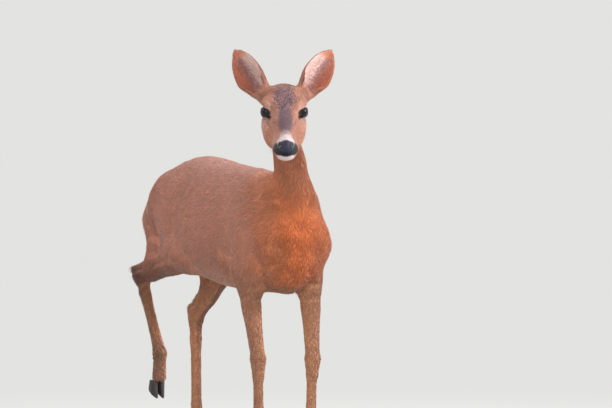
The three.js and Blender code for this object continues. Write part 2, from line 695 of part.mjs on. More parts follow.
// A foot's frame: origin on the sole's level under the coronet, x to the left, y backward and z up the foot.
function footFrame(leg) {
  const fetlock = spot(leg.fetlock);
  const coronet = spot(leg.coronet);
  const slope = Math.atan2(fetlock.y - coronet.y, fetlock.z - coronet.z);
  const planted = Math.atan2(30, 56);
  const raised = leg.coronet[2] > CORONET_HEIGHT;
  const turn = new THREE.Matrix4().makeRotationX(raised ? planted - slope : 0);
  const drop = new THREE.Matrix4().makeTranslation(0, 0, -CORONET_HEIGHT);
  return turn.setPosition(coronet).multiply(drop);
}

function hoofSolid(leg, side) {
  const rows = [0, SOLE_EDGE.height, HOOF_HEIGHT].map((height) => {
    const toe = -HOOF_LENGTH * HOOF_TOE_SHARE + height / Math.tan(radians(HOOF_WALL));
    const heel = HOOF_LENGTH * (1 - HOOF_TOE_SHARE) + height * HOOF_HEEL_LEAN;
    const half = (heel - toe) / 2;
    return Array.from({ length: SEGMENTS.hoof }, (_, i) => {
      const angle = 2 * Math.PI * i / SEGMENTS.hoof;
      const along = Math.cos(angle);
      const taper = 1 - (along < 0 ? HOOF_TOE_TAPER : HOOF_HEEL_TAPER) * along * along;
      const width = (HOOF_HALF_WIDTH - (height === 0 ? SOLE_EDGE.inset : 0)) * taper;
      const x = side * HOOF_SPACING - width * Math.sin(angle) - side * HOOF_TOE_IN * Math.max(0, -along);
      return new THREE.Vector3(x, toe + half * (1 + along), height);
    });
  });
  const bottom = new THREE.Vector3(side * HOOF_SPACING, 0, 0);
  const top = new THREE.Vector3(side * HOOF_SPACING, 0, HOOF_HEIGHT);
  const geometry = ringGeometry([[bottom], ...rows, [top]]).applyMatrix4(footFrame(leg));
  const { point, normal } = coronetCut(leg);
  return cutAway(solid(geometry), point, normal.clone().negate());
}

function coronetCut(leg) {
  const point = spot(leg.coronet);
  return { point, normal: point.clone().sub(spot(leg.fetlock)).normalize() };
}

function dewclawSolid(leg, side, grow) {
  const cone = new THREE.ConeGeometry(DEWCLAW_RADIUS + grow, DEWCLAW_LENGTH + 2 * grow, SEGMENTS.dewclaw);
  cone.rotateX(-Math.PI / 2);
  cone.rotateX(radians(DEWCLAW_SLOPE));
  cone.translate(side * DEWCLAW_AT.side, DEWCLAW_AT.back, -DEWCLAW_AT.below);
  const fetlock = spot(leg.fetlock);
  return solid(cone.translate(fetlock.x, fetlock.y, fetlock.z));
}

// ---------------------------------------------------------------- legs

const DOWN = UP.clone().negate();
const alongLeg = (tilt) => DOWN.clone().applyAxisAngle(LEFT, radians(tilt));

function cannonCut(leg, top) {
  const joint = spot(top);
  const fetlock = spot(leg.fetlock);
  return { point: joint.clone().lerp(fetlock, leg.cut), normal: fetlock.clone().sub(joint).normalize() };
}

// The block that takes the cannon's place out of a haunch.
function cannonBlock({ point, normal }) {
  const [across, deep] = [90, 120];
  const block = new THREE.BoxGeometry(across, across, deep);
  block.translate(0, 0, (deep - GAP) / 2);
  block.applyQuaternion(new THREE.Quaternion().setFromUnitVectors(UP, normal));
  return solid(block.translate(point.x, point.y, point.z));
}

function addLower(name, leg, top) {
  const [joint, fetlock, coronet] = [top, leg.fetlock, leg.coronet].map(spot);
  const cannon = fetlock.clone().sub(joint).normalize();
  const pastern = coronet.clone().sub(fetlock).normalize();
  const shares = [0.02, 0.1, 0.2, 0.35, 0.6, 0.8, 0.9];
  const rows = shares.map((t) => row(joint.clone().lerp(fetlock, t), cannon, LEFT, { reach: REACH.cannon }));
  const foot = { reach: REACH.foot };
  rows.push(row(fetlock, cannon.clone().add(pastern), LEFT, foot));
  for (const t of [0.3, 0.65, 1]) rows.push(row(fetlock.clone().lerp(coronet, t), pastern, LEFT, foot));
  rows.push(row(coronet.clone().addScaledVector(pastern, 2 * OVERRUN), pastern, LEFT, foot));
  let lower = solid(flatEnded(animalField, rows, SEGMENTS.cannon));
  const cut = cannonCut(leg, top);
  lower = cutAway(lower, cut.point, cut.normal.clone().negate());
  const hoofLine = coronetCut(leg);
  lower = cutAway(lower, hoofLine.point, hoofLine.normal);
  for (const [toe, side] of [['outer', 1], ['inner', -1]]) {
    const outward = side * Math.sign(leg.coronet[1]);
    add(`hoof_${name}_${toe}`, hoofSolid(leg, outward), horn);
    add(`dewclaw_${name}_${toe}`, dewclawSolid(leg, outward, 0), horn);
    lower = lower.subtract(dewclawSolid(leg, outward, GAP));
  }
  add(`cannon_${name}`, lower, coat);
}

function addForeLeg(name, leg) {
  const [elbow, carpus] = [leg.elbow, leg.carpus].map(spot);
  const rows = [
    [elbow.clone().add(new THREE.Vector3(0, 8, 110)), 120],
    [elbow.clone().add(new THREE.Vector3(0, 8, 75)), 110],
    [elbow.clone().add(new THREE.Vector3(0, 6, 45)), 80],
    [elbow.clone().add(new THREE.Vector3(0, 4, 20)), 70],
    [elbow, 60],
  ];
  for (const t of [0.12, 0.25, 0.4, 0.6, 0.8, 0.92, 1]) rows.push([elbow.clone().lerp(carpus, t), 55]);
  rows.push([carpus.clone().add(new THREE.Vector3(0, 0, -34)), 40]);
  const rings = rows.map(([origin, reach]) => row(origin, DOWN, LEFT, { reach }));
  const forearm = solid(flatEnded(animalField, rings, SEGMENTS.forearm)).intersect(foreLegBox(leg, GAP));
  const cut = cannonCut(leg, leg.carpus);
  add(`forearm_${name}`, cutAway(forearm, cut.point, cut.normal), coat);
  addLower(name, leg, leg.carpus);
}

// The last rows of a haunch: a rounded heel, or a flat end inside the cannon.
function heelRows(leg, rings) {
  const { origin, heading, side } = rings[rings.length - 1];
  if (!leg.cap) return [cap(rings[rings.length - 1])];
  const leaning = leg.cap.map((lean) => row(origin, heading, side, { lean, reach: REACH.heel }));
  return [...leaning, row(origin, heading, side, { pole: 1 })];
}

function addHindLeg(name, leg) {
  const [hip, hock] = [leg.hip, leg.hock];
  const rings = leg.rows.map(([forward, up, tilt, reach]) => {
    const left = lerp(hock[1], hip[1], clamp((up - hock[2]) / (hip[2] - hock[2]), 0, 1));
    return row(spot([forward, left, up]), alongLeg(tilt), LEFT, { reach });
  });
  const side = Math.sign(hip[1]);
  const bluntEnd = skin(animalField, [cap(rings[0]), ...rings, ...heelRows(leg, rings)], SEGMENTS.haunch);
  let haunch = solid(bluntEnd).intersect(haunchPrism(side, GAP));
  const cut = cannonCut(leg, leg.hock);
  haunch = haunch.subtract(cannonBlock(cut)).subtract(tailSolid(GAP));
  add(`haunch_${name}`, haunch, coat);
  addLower(name, leg, leg.hock);
}

for (const side of ['left', 'right']) {
  addForeLeg(`fore_${side}`, FORE_LEGS[side]);
  addHindLeg(`hind_${side}`, HIND_LEGS[side]);
}

// ---------------------------------------------------------------- origin under the middle of the animal

const box = new THREE.Box3().setFromObject(group);
group.position.set(-(box.min.x + box.max.x) / 2, -(box.min.y + box.max.y) / 2, -box.min.z);

export default group;
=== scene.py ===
"""A standing roe doe as a life-size museum model: one skin, its coat in tufts, eyes and hooves.

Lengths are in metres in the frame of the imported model: X to the deer's left, -Y forward, Z up.
Forms, patches and hair are placed in millimetres, measured from the body's origin or from the poll.
"""

import math

import bmesh
import bpy
import numpy as np
import openvdb as vdb
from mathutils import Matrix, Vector


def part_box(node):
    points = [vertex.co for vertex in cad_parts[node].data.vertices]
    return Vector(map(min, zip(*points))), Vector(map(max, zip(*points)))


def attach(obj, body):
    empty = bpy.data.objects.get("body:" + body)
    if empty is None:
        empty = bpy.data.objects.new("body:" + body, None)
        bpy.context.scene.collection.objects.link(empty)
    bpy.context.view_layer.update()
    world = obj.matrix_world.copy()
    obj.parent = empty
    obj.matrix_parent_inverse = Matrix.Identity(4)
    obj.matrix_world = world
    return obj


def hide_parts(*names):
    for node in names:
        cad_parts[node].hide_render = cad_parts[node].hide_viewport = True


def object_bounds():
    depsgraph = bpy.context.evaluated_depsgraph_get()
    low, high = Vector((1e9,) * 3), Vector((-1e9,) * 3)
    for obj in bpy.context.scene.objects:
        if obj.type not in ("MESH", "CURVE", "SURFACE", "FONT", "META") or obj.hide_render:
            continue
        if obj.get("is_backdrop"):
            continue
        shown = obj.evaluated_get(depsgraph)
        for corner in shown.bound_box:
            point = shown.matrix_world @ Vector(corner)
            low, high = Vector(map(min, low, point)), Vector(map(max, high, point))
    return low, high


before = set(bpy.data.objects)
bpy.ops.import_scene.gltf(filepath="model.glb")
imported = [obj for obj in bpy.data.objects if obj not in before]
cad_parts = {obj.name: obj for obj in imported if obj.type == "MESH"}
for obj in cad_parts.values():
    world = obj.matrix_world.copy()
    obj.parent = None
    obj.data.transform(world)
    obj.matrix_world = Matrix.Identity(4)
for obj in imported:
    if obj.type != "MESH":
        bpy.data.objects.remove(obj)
cad_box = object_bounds()

# ---------------------------------------------------------------- driving sizes

SIDES = {"left": 1, "right": -1}
EYE_FORWARD = 0.1699  # from the origin of the body's measurements to the line between the eyes
HEAD_YAW = math.radians(25)  # the face turns to the deer's right
HEAD_PITCH = math.radians(40)  # the face slopes down from the poll
EYE_ALONG = 0.081  # from the poll to the eyes, down the face
EYE_BELOW = 0.028  # the eyes under the forehead's line

EAR_ROOT = (22, -27, 45)  # millimetres down the face, above its line and to the side
EAR_SPLAY = math.radians(34)
EAR_LEAN_BACK = math.radians(12)
EAR_TURN_OUT = {"left": math.radians(8), "right": math.radians(20)}
EAR_HOLLOW = 22  # millimetres from the ear's back to the middle of its curl

CLOSING = 0.0004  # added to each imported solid, so that the gaps between them close
BALL_SINK = 0.002  # the skin behind an eyeball lies this far inside it

# Softness is the blur that rounds the solids' flat faces, depth is how deep the skin lies in the coat.
FLESH = {
    "trunk": dict(softness=0.008, depth=0.0036),
    "neck": dict(softness=0.008, depth=0.0036),
    "head": dict(softness=0.004, depth=0.0012),
    "tail": dict(softness=0.004, depth=0.0030),
    "ear": dict(softness=0.0025, depth=-0.0004),
    "forearm": dict(softness=0.004, depth=0.0018),
    "haunch": dict(softness=0.008, depth=0.0030),
    "cannon": dict(softness=0.004, depth=0.0010),
    "eye": dict(softness=0.002, depth=0.0010),
}


def unit(vector):
    vector = np.asarray(vector, float)
    return vector / np.linalg.norm(vector)


def centre(node):
    low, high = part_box(node)
    return (np.array(low) + np.array(high)) / 2


EYES = {side: centre(f"eye_{side}") for side in SIDES}
EYE_RADIUS = (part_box("eye_left")[1].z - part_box("eye_left")[0].z) / 2
BETWEEN_EYES = (EYES["left"] + EYES["right"]) / 2
MID_X = centre("tail")[0]
ORIGIN_Y = BETWEEN_EYES[1] + EYE_FORWARD
UP = np.array((0.0, 0.0, 1.0))

HEAD_SIDE = unit(EYES["left"] - EYES["right"])
HEAD_AHEAD = np.array((-math.sin(HEAD_YAW), -math.cos(HEAD_YAW), 0.0))
HEAD_ALONG = math.cos(HEAD_PITCH) * HEAD_AHEAD - math.sin(HEAD_PITCH) * UP
HEAD_DORSAL = math.sin(HEAD_PITCH) * HEAD_AHEAD + math.cos(HEAD_PITCH) * UP
HEAD_AXES = np.stack((HEAD_ALONG, HEAD_DORSAL, HEAD_SIDE))
POLL = BETWEEN_EYES - EYE_ALONG * HEAD_ALONG + EYE_BELOW * HEAD_DORSAL


def spot(forward, left, up):
    """A place on the deer, from millimetres forward, to its left and up."""
    return np.array((MID_X + left / 1000, ORIGIN_Y - forward / 1000, up / 1000))


def head_spots(places):
    """Places on the head, from millimetres down the face, above its line and to its left."""
    return POLL + np.asarray(places) / 1000 @ HEAD_AXES


def body_measures(points):
    """Millimetres forward, left and up of each point."""
    return np.stack((ORIGIN_Y - points[:, 1], points[:, 0] - MID_X, points[:, 2]), axis=1) * 1000


def head_measures(points):
    """Millimetres down the face, above its line and to its left of each point."""
    return (points - POLL) @ HEAD_AXES.T * 1000


def folded_body(points):
    """The body's measures with its right side folded onto the left."""
    return body_measures(points) * np.where(points[:, :1] < MID_X, (1, -1, 1), 1)


def folded_head(points):
    """The head's measures with its right side folded onto the left."""
    places = head_measures(points)
    return places * np.where(places[:, 2:] < 0, (1, 1, -1), 1)


def ear_axes(side):
    """The ear's own axes as rows: outwards across it, towards its tip, and out of its hollow."""
    outward = SIDES[side] * HEAD_SIDE
    to_tip = unit(
        math.cos(EAR_SPLAY) * UP + math.sin(EAR_SPLAY) * outward - math.sin(EAR_LEAN_BACK) * HEAD_AHEAD
    )
    turn = EAR_TURN_OUT[side]
    facing = math.cos(turn) * HEAD_AHEAD + math.sin(turn) * outward
    across = SIDES[side] * unit(np.cross(to_tip, facing))
    across *= np.sign(across @ outward)
    opening = unit(facing - (facing @ to_tip) * to_tip - (facing @ across) * across)
    return np.stack((across, to_tip, opening))


EAR_AXES = {side: ear_axes(side) for side in SIDES}
EAR_ROOTS = {side: head_spots((*EAR_ROOT[:2], sign * EAR_ROOT[2])) for side, sign in SIDES.items()}


def on_left(points):
    """True for the points on the left half of the head, as a column."""
    return ((points - POLL) @ HEAD_SIDE > 0)[:, None]


def ear_measures(points):
    """Millimetres outwards, towards the tip and out of the hollow, from the root of the nearer ear."""
    left, right = ((points - EAR_ROOTS[side]) @ EAR_AXES[side].T * 1000 for side in SIDES)
    return np.where(on_left(points), left, right)


def ramp(value, start, end):
    """0 at start, 1 at end, smooth between."""
    t = np.clip((value - start) / (end - start), 0, 1)
    return t * t * (3 - 2 * t)


def bell(value, middle, reach):
    """1 at the middle, falling softly to 0 beyond reach."""
    return np.exp(-(((value - middle) / reach) ** 2))


def along_line(places, start, end, reach):
    """1 on the line between two places, falling softly to 0 beyond reach."""
    start, end = np.array(start, float), np.array(end, float)
    axis = end - start
    length = axis @ axis
    share = np.clip((places - start) @ axis / length, 0, 1) if length else np.zeros(len(places))
    return bell(np.linalg.norm(places - start - share[:, None] * axis, axis=1), 0, reach)


def within(places, middle, reaches):
    """Distance from the middle of an ellipsoid, as a share of its reaches."""
    return np.linalg.norm((places - np.array(middle)) / np.array(reaches), axis=1)


def patch(places, ellipsoid, start=0.55, end=1.1):
    """1 in the middle of an ellipsoid, 0 outside, with the change from start to end of its reaches."""
    return 1 - ramp(within(places, *ellipsoid), start, end)


# ---------------------------------------------------------------- view

VIEW_TURN = math.radians(27.5)
VIEW_RISE = math.radians(2)
VIEW_DISTANCE = 18.68
VIEW_HEIGHT = 586  # millimetres above the floor
VIEW_SHIFT = 0.055  # to the right of the body's origin, as the camera sees it
VIEW_LENS = 500
VIEW_CLIP = 200
VIEW_LEVEL = np.array((-math.sin(VIEW_TURN), -math.cos(VIEW_TURN), 0))
VIEW_BACK = math.cos(VIEW_RISE) * VIEW_LEVEL + math.sin(VIEW_RISE) * UP  # from the deer to the camera
VIEW_RIGHT = np.array((math.cos(VIEW_TURN), -math.sin(VIEW_TURN), 0))
VIEW_AIM = spot(0, 0, VIEW_HEIGHT) + VIEW_SHIFT * VIEW_RIGHT


def look_from(holder, place, aim):
    """Puts a camera or lamp at a place and points it at another."""
    holder.location = place
    holder.rotation_euler = (Vector(aim) - Vector(place)).to_track_quat("-Z", "Y").to_euler()


def link(name, data):
    """A new object in the scene, from a mesh, camera or lamp."""
    piece = bpy.data.objects.new(name, data)
    bpy.context.scene.collection.objects.link(piece)
    return piece


camera = link("view", bpy.data.cameras.new("view"))
camera.data.lens = VIEW_LENS
camera.data.sensor_width = 36
camera.data.clip_end = VIEW_CLIP
look_from(camera, VIEW_AIM + VIEW_DISTANCE * VIEW_BACK, VIEW_AIM)
bpy.context.scene.camera = camera
bpy.context.scene.view_settings.view_transform = "Standard"

# ---------------------------------------------------------------- meshes and fields

BAND = 12  # voxels of distance that are kept on both sides of a surface
GRID_VOXEL = 0.0025
OWNER_BLUR = 3  # coarse voxels over which one kind of flesh gives way to the next
FINE_BLUR = 3  # a blur of more voxels than this is made on every second voxel
BLUR_REACH = 2.5  # sigmas


def mesh_from(name, points, faces):
    """A mesh with smooth shading, from arrays of corners and of faces with one number of sides."""
    mesh = bpy.data.meshes.new(name)
    count, sides = faces.shape
    mesh.vertices.add(len(points))
    mesh.vertices.foreach_set("co", points.astype(np.float32).ravel())
    mesh.loops.add(count * sides)
    mesh.loops.foreach_set("vertex_index", faces.astype(np.int32).ravel())
    mesh.polygons.add(count)
    mesh.polygons.foreach_set("loop_start", np.arange(count, dtype=np.int32) * sides)
    mesh.polygons.foreach_set("use_smooth", np.ones(count, bool))
    mesh.update(calc_edges=True)
    return mesh


def arrays_of(mesh):
    """The corners and triangles of a mesh."""
    points = np.empty(len(mesh.vertices) * 3, np.float32)
    mesh.vertices.foreach_get("co", points)
    mesh.calc_loop_triangles()
    triangles = np.empty(len(mesh.loop_triangles) * 3, np.int32)
    mesh.loop_triangles.foreach_get("vertices", triangles)
    return points.reshape(-1, 3).astype(float), triangles.reshape(-1, 3)


def normals_of(points, triangles):
    """The smooth normal at each corner."""
    a, b, c = (points[triangles[:, i]] for i in range(3))
    across = np.cross(b - a, c - a)
    total = np.zeros_like(points)
    for axis in range(3):
        for i in range(3):
            total[:, axis] += np.bincount(triangles[:, i], across[:, axis], len(points))
    return total / np.maximum(np.linalg.norm(total, axis=1, keepdims=True), 1e-12)


def blur(values, sigma):
    """A Gaussian blur of a grid, with sigma in voxels."""
    reach = math.ceil(BLUR_REACH * sigma)
    weights = np.exp(-0.5 * (np.arange(-reach, reach + 1) / sigma) ** 2)
    weights = (weights / weights.sum()).astype(np.float32)
    for axis in range(3):
        margins = [(reach, reach) if a == axis else (0, 0) for a in range(3)]
        padded = np.pad(values, margins, mode="edge")
        size = values.shape[axis]
        values = np.zeros_like(values)
        weighed = np.empty_like(values)
        for start, weight in enumerate(weights):
            window = [slice(None)] * 3
            window[axis] = slice(start, start + size)
            values += np.multiply(padded[tuple(window)], weight, out=weighed)
    return values


def round_off(values, sigma):
    """A blur that rounds edges and leaves gentle curves where they are."""
    once = blur(values, sigma)
    return 2 * once - blur(once, sigma)


def doubled(values):
    """The same grid with a new voxel halfway between each pair."""
    for axis in range(3):
        values = np.moveaxis(values, axis, 0)
        longer = np.empty((2 * len(values) - 1, *values.shape[1:]), np.float32)
        longer[::2] = values
        longer[1::2] = (values[1:] + values[:-1]) / 2
        values = np.moveaxis(longer, 0, axis)
    return np.ascontiguousarray(values)


class Grid:
    """The voxels of a box and a margin round it, on which distances are sampled."""

    def __init__(self, low, high, voxel):
        margin = BAND + 2
        self.voxel = voxel
        self.first = np.floor(np.array(low) / voxel).astype(int) - margin
        last = np.ceil(np.array(high) / voxel).astype(int) + margin
        self.shape = tuple((last - self.first) // 2 * 2 + 1)
        self.transform = vdb.createLinearTransform(voxelSize=voxel)

    def filled(self, value):
        return np.full(self.shape, value, np.float32)

    def distances(self, points, faces):
        """Signed distances to a closed mesh, as far as the band, and the box of voxels they fill."""
        level_set = vdb.FloatGrid.createLevelSetFromPolygons(
            points.astype(np.float32),
            **{"triangles" if faces.shape[1] == 3 else "quads": faces.astype(np.uint32)},
            transform=self.transform, halfWidth=BAND,
        )
        low, high = (np.array(corner) for corner in level_set.evalActiveVoxelBoundingBox())
        values = np.empty(high - low + 1, np.float32)
        level_set.copyToArray(values, ijk=tuple(int(i) for i in low))
        return values, tuple(slice(a, b) for a, b in zip(low - self.first, high - self.first + 1))

    def surface(self, values):
        """The mesh of quads where the values are zero."""
        level_set = vdb.FloatGrid(float(values.max()))
        level_set.copyFromArray(values, ijk=tuple(int(i) for i in self.first))
        level_set.transform = self.transform
        return level_set.convertToQuads(isovalue=0)

    def sample(self, values, points):
        """The values at each point."""
        place = points / self.voxel - self.first
        cell = np.floor(place).astype(int)
        part = place - cell
        result = 0
        for corner in np.ndindex(2, 2, 2):
            share = np.prod(np.where(corner, part, 1 - part), axis=1)
            result = result + share * values[tuple((cell + corner).T)]
        return result


def kind_of(node):
    """The flesh a node belongs to, such as ear for ear_left, or None for horn."""
    return next((kind for kind in FLESH if node.startswith(kind)), None)


FLESH_NODES = [name for name in sorted(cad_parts) if kind_of(name)]


def flesh_field():
    """One field of distance for all the flesh, rounded by its kind and sunk by its coat's depth."""
    grid = Grid(*cad_box, GRID_VOXEL)
    far = BAND * GRID_VOXEL
    nearest = grid.filled(far)
    owner = np.zeros(grid.shape, np.uint8)
    for name in FLESH_NODES:
        kind = kind_of(name)
        values, window = grid.distances(*arrays_of(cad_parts[name].data))
        values += BALL_SINK if kind == "eye" else -CLOSING
        closer = values < nearest[window]
        nearest[window][closer] = values[closer]
        owner[window][closer] = list(FLESH).index(kind)
    values, window = grid.distances(*grid.surface(nearest))
    whole = np.where(nearest > 0, np.float32(far), np.float32(-far))
    whole[window] = values
    whole += CLOSING
    every_second = (slice(None, None, 2),) * 3
    coarse_owner = owner[every_second]
    coarse_whole = np.ascontiguousarray(whole[every_second])
    softnesses, depths = (
        np.array([flesh[name] for flesh in FLESH.values()], np.float32) for name in ("softness", "depth")
    )
    field = doubled(blur(depths[coarse_owner], OWNER_BLUR))
    for softness in np.unique(softnesses):
        share = doubled(blur((softnesses[coarse_owner] == softness).astype(np.float32), OWNER_BLUR))
        sigma = softness / GRID_VOXEL
        if sigma > FINE_BLUR:
            field += share * doubled(round_off(coarse_whole, sigma / 2))
        else:
            field += share * round_off(whole, sigma)
    return grid, field


def refined(points, quads, zones):
    """The skin's mesh with the faces that lie in each zone halved, one zone after the other."""
    mesh = mesh_from("skin", points, quads)
    work = bmesh.new()
    work.from_mesh(mesh)
    for zone in zones:
        work.verts.index_update()
        chosen = zone(np.array([v.co for v in work.verts]))
        faces = [f for f in work.faces if all(chosen[v.index] for v in f.verts)]
        edges = list({edge for face in faces for edge in face.edges})
        bmesh.ops.subdivide_edges(work, edges=edges, cuts=1, use_grid_fill=True)
    bmesh.ops.triangulate(work, faces=[f for f in work.faces if len(f.verts) > 4])
    work.to_mesh(mesh)
    work.free()
    return mesh


# ---------------------------------------------------------------- forms of the body

# Joints of the legs: millimetres forward, left and up.
FORE_JOINTS = {
    "left": dict(
        scapula=(-20, 69, 590), shoulder=(50, 60, 502), elbow=(14, 63, 425), point=(-12, 64, 444),
        carpus=(38, 58, 246), fetlock=(36, 54, 88), coronet=(66, 54, 32),
    ),
    "right": dict(
        scapula=(-50, -46, 600), shoulder=(42, -58, 500), elbow=(-38, -63, 425), point=(-62, -65, 444),
        carpus=(0, -57, 246), fetlock=(-4, -53, 88), coronet=(26, -53, 32),
    ),
}
HIND_JOINTS = {
    "left": dict(
        hip=(-445, 48, 578), stifle=(-343, 74, 486), hock=(-492, 38, 314), heel=(-525, 38, 338),
        fetlock=(-474, 31, 90), coronet=(-445, 30, 32),
    ),
    "right": dict(
        hip=(-445, -48, 578), stifle=(-342, -74, 457), hock=(-558, -66, 406), heel=(-594, -66, 420),
        fetlock=(-472, -62, 238), coronet=(-476, -62, 176),
    ),
}

# Forms of the trunk and neck, the same on both sides: from, to, reach and height in millimetres.
BODY_FORMS = {
    "spine": ((-90, 0, 662), (-520, 0, 640), 10, 2.0),
    "beside_spine": ((-120, 26, 664), (-400, 26, 672), 9, -1.2),
    "hip_bone": ((-392, 60, 656), (-402, 66, 646), 18, 5.5),
    "pin_bone": ((-535, 36, 592), (-545, 36, 580), 14, 3.5),
    "flank_hollow": ((-318, 78, 622), (-330, 88, 520), 32, -8.0),
    "last_rib": ((-278, 84, 622), (-236, 92, 460), 26, 1.8),
    "flank_fold": ((-345, 80, 465), (-290, 84, 440), 20, 2.6),
    "belly_tuck": ((-340, 40, 440), (-290, 40, 424), 26, -2.0),
    "behind_elbow": ((-112, 84, 560), (-104, 78, 430), 42, -3.4),
    "rib_swell": ((-170, 92, 540), (-220, 96, 510), 60, 2.5),
    "throat_groove": ((96, 22, 780), (58, 36, 600), 10, -4.0),
    "neck_muscle": ((74, 30, 770), (20, 50, 610), 13, 3.0),
    "before_shoulder": ((36, 52, 600), (88, 40, 478), 20, -5.0),
    "breast_groove": ((86, 0, 530), (66, 0, 400), 15, -6.0),
    "breast_muscle": ((84, 22, 520), (74, 26, 440), 22, 2.2),
    "breast_fold": ((72, 34, 464), (34, 68, 426), 8, 2.4),
    "under_fold": ((78, 24, 446), (46, 52, 412), 10, -3.6),
    "thigh_groove": ((-476, 66, 616), (-448, 74, 486), 13, -4.0),
    "thigh_front": ((-396, 80, 600), (-352, 86, 490), 28, 4.5),
}
FORE_FORMS = (  # joints that each form runs between, millimetres moved back and up, reach, height
    ("scapula", "shoulder", (0, 0), 28, 2.8),
    ("shoulder", "shoulder", (0, 0), 34, 3.4),
    ("scapula", "point", (10, 14), 32, 2.4),
    ("shoulder", "point", (0, 12), 26, -1.6),
    ("point", "point", (6, 2), 22, 1.6),
    ("elbow", "carpus", (-10, -30), 14, 1.6),
    ("carpus", "carpus", (-12, 4), 10, 1.8),
    ("carpus", "carpus", (14, 2), 6, 2.6),
    ("carpus", "fetlock", (3.5, 0), 2.6, -1.4),
    ("fetlock", "fetlock", (11, -2), 7, 1.4),
)
HIND_FORMS = (
    ("stifle", "stifle", (-14, 4), 16, 4.0),
    ("stifle", "hock", (-4, 12), 12, 2.6),
    ("stifle", "heel", (6, -4), 8, -3.4),
    ("heel", "heel", (3, 3), 7, 2.0),
    ("hock", "hock", (-10, -4), 9, 1.6),
    ("hock", "fetlock", (4, 0), 2.6, -1.4),
    ("fetlock", "fetlock", (11, -2), 7, 1.4),
)
LEG_APART = 40  # a leg's forms end this far to the side of their joint
LEG_SCALE = np.array((1, 0.35, 1))  # and reach further across the leg than along it

# Lines where the solids meet in a step: millimetres fore or aft, to either side and up, and their reach.
CREASES = (
    ((300, 30, 420), (352, 70, 430), 34),
    ((352, 70, 430), (330, 96, 470), 24),
    ((0, 0, 662), (4, 62, 600), 34),
    ((22, 88, 500), (24, 72, 440), 22),
    ((50, 88, 485), (48, 80, 415), 22),
    ((126, 84, 500), (122, 72, 440), 24),
)
CREASE_ROUNDS = 50
EAR_ROUNDS = 12
STEP = 0.5  # share of the way to its neighbours that a corner moves in a round of smoothing
STEP_BACK = -0.52  # the second step of a round, which keeps the form from shrinking
STEP_ON = 0.3  # or which evens a crease out further


def body_relief(points):
    """Muscles, bones and hollows of the trunk, neck and legs, in millimetres outwards."""
    places = body_measures(points)
    folded = folded_body(points)
    height = np.zeros(len(points))
    for start, end, reach, rise in BODY_FORMS.values():
        height += rise * along_line(folded, start, end, reach)
    for legs, forms in ((FORE_JOINTS, FORE_FORMS), (HIND_JOINTS, HIND_FORMS)):
        for joints in legs.values():
            for start, end, (back, up), reach, rise in forms:
                near = abs(places[:, 1] - joints[start][1]) < LEG_APART
                ends = ((np.array(joints[name]) + (-back, 0, up)) * LEG_SCALE for name in (start, end))
                height += rise * near * along_line(places * LEG_SCALE, *ends, reach)
    return height


# ---------------------------------------------------------------- forms of the head

# Forms of the head, on both sides: along, dorsal, side, their three reaches and the height.
HEAD_FORMS = {
    "brow": ((72, -10, 41), (17, 7, 10), 4.8),
    "temple": ((46, -24, 43), (12, 12, 10), -1.6),
    "cheekbone": ((106, -56, 44), (22, 6, 10), 1.8),
    "tear_pit": ((108, -40, 41), (9, 4, 9), -2.4),
    "cheek_hollow": ((136, -50, 36), (26, 14, 12), -3.8),
    "nose_side": ((144, -22, 26), (34, 11, 11), -4.6),
    "nose_bridge": ((138, -8, 0), (44, 8, 10), 1.8),
    "bridge_edge": ((128, -10, 17), (34, 6, 6), 1.4),
    "before_eye": ((103, -22, 33), (12, 9, 9), -2.4),
    "jaw_muscle": ((76, -76, 43), (22, 18, 14), 1.8),
    "forehead": ((100, 0, 0), (18, 10, 12), -1.4),
    "crown_side": ((38, -6, 24), (18, 12, 10), 1.2),
    "lip": ((187, -45, 21), (13, 6, 8), 1.5),
    "chin": ((191, -55, 0), (9, 6, 11), 1.0),
    "chin_back": ((168, -67, 0), (9, 8, 14), -1.4),
}

MOUTH_FRONT = (207, -41)  # along and dorsal of the slit
MOUTH_CORNER = (165, -57)
MOUTH_UNDER = -30  # the muzzle below this is lips and chin
SLIT = dict(depth=2.8, width=1.4)
UPPER_LIP = dict(above=3.4, width=1.8, rise=0.9)
LOWER_LIP = dict(sink=2.0, reach=9)
NOSE_PAD = ((199, -22, 0), (15, 13, 16.5))  # the middle and the reaches of the bare pad
PAD_RISE = 0.7
PAD_RIM = dict(at=1.04, width=0.06, depth=0.5)  # the groove round the pad, in shares of its reaches
NOSTRIL = ((199, -20, 15.5), (9.5, 5.4, 5.2))
NOSTRIL_DEPTH = 6.0
NOSTRIL_RIM = dict(at=1.25, width=0.2, rise=1.0, until=206)
LIP_SPLIT = dict(depth=1.3, width=1.1)  # the upper lip's groove in the middle

EYE_OUT = np.array((0.54, 0.42, 0.71))  # the way the left eye looks: along, dorsal, side
EYE_TILT = math.radians(-42)  # how far the inner corner turns down from the line of the face
OPENING = dict(length=10.0, height=8.6, inner=1.08, above=0.9, below=0.95, squareness=2.3)  # half sizes
TEAR = ((8.2, -7.2), (2.2, 2.0))  # the pit of the inner corner, in the eye's own axes
TEAR_EDGE = 1.5
LID_THICKNESS = 1.7
LID_RIM = dict(at=0.9, width=0.9, rise=0.5)  # millimetres from the edge of the opening
LID_FOLD = dict(at=5.5, width=1.2, depth=0.9)
LID_SUNK = 2.4  # how far the skin lies inside the eyeball behind the opening
LID_REACH = 17.0  # how far from the eyeball's middle the lids hug it
LID_END = 25


def head_relief(points):
    """Bones and muscles of the head, in millimetres outwards."""
    places = folded_head(points)
    height = np.zeros(len(points))
    for middle, reaches, rise in HEAD_FORMS.values():
        height += rise * bell(within(places, middle, reaches), 0, 1)
    return height


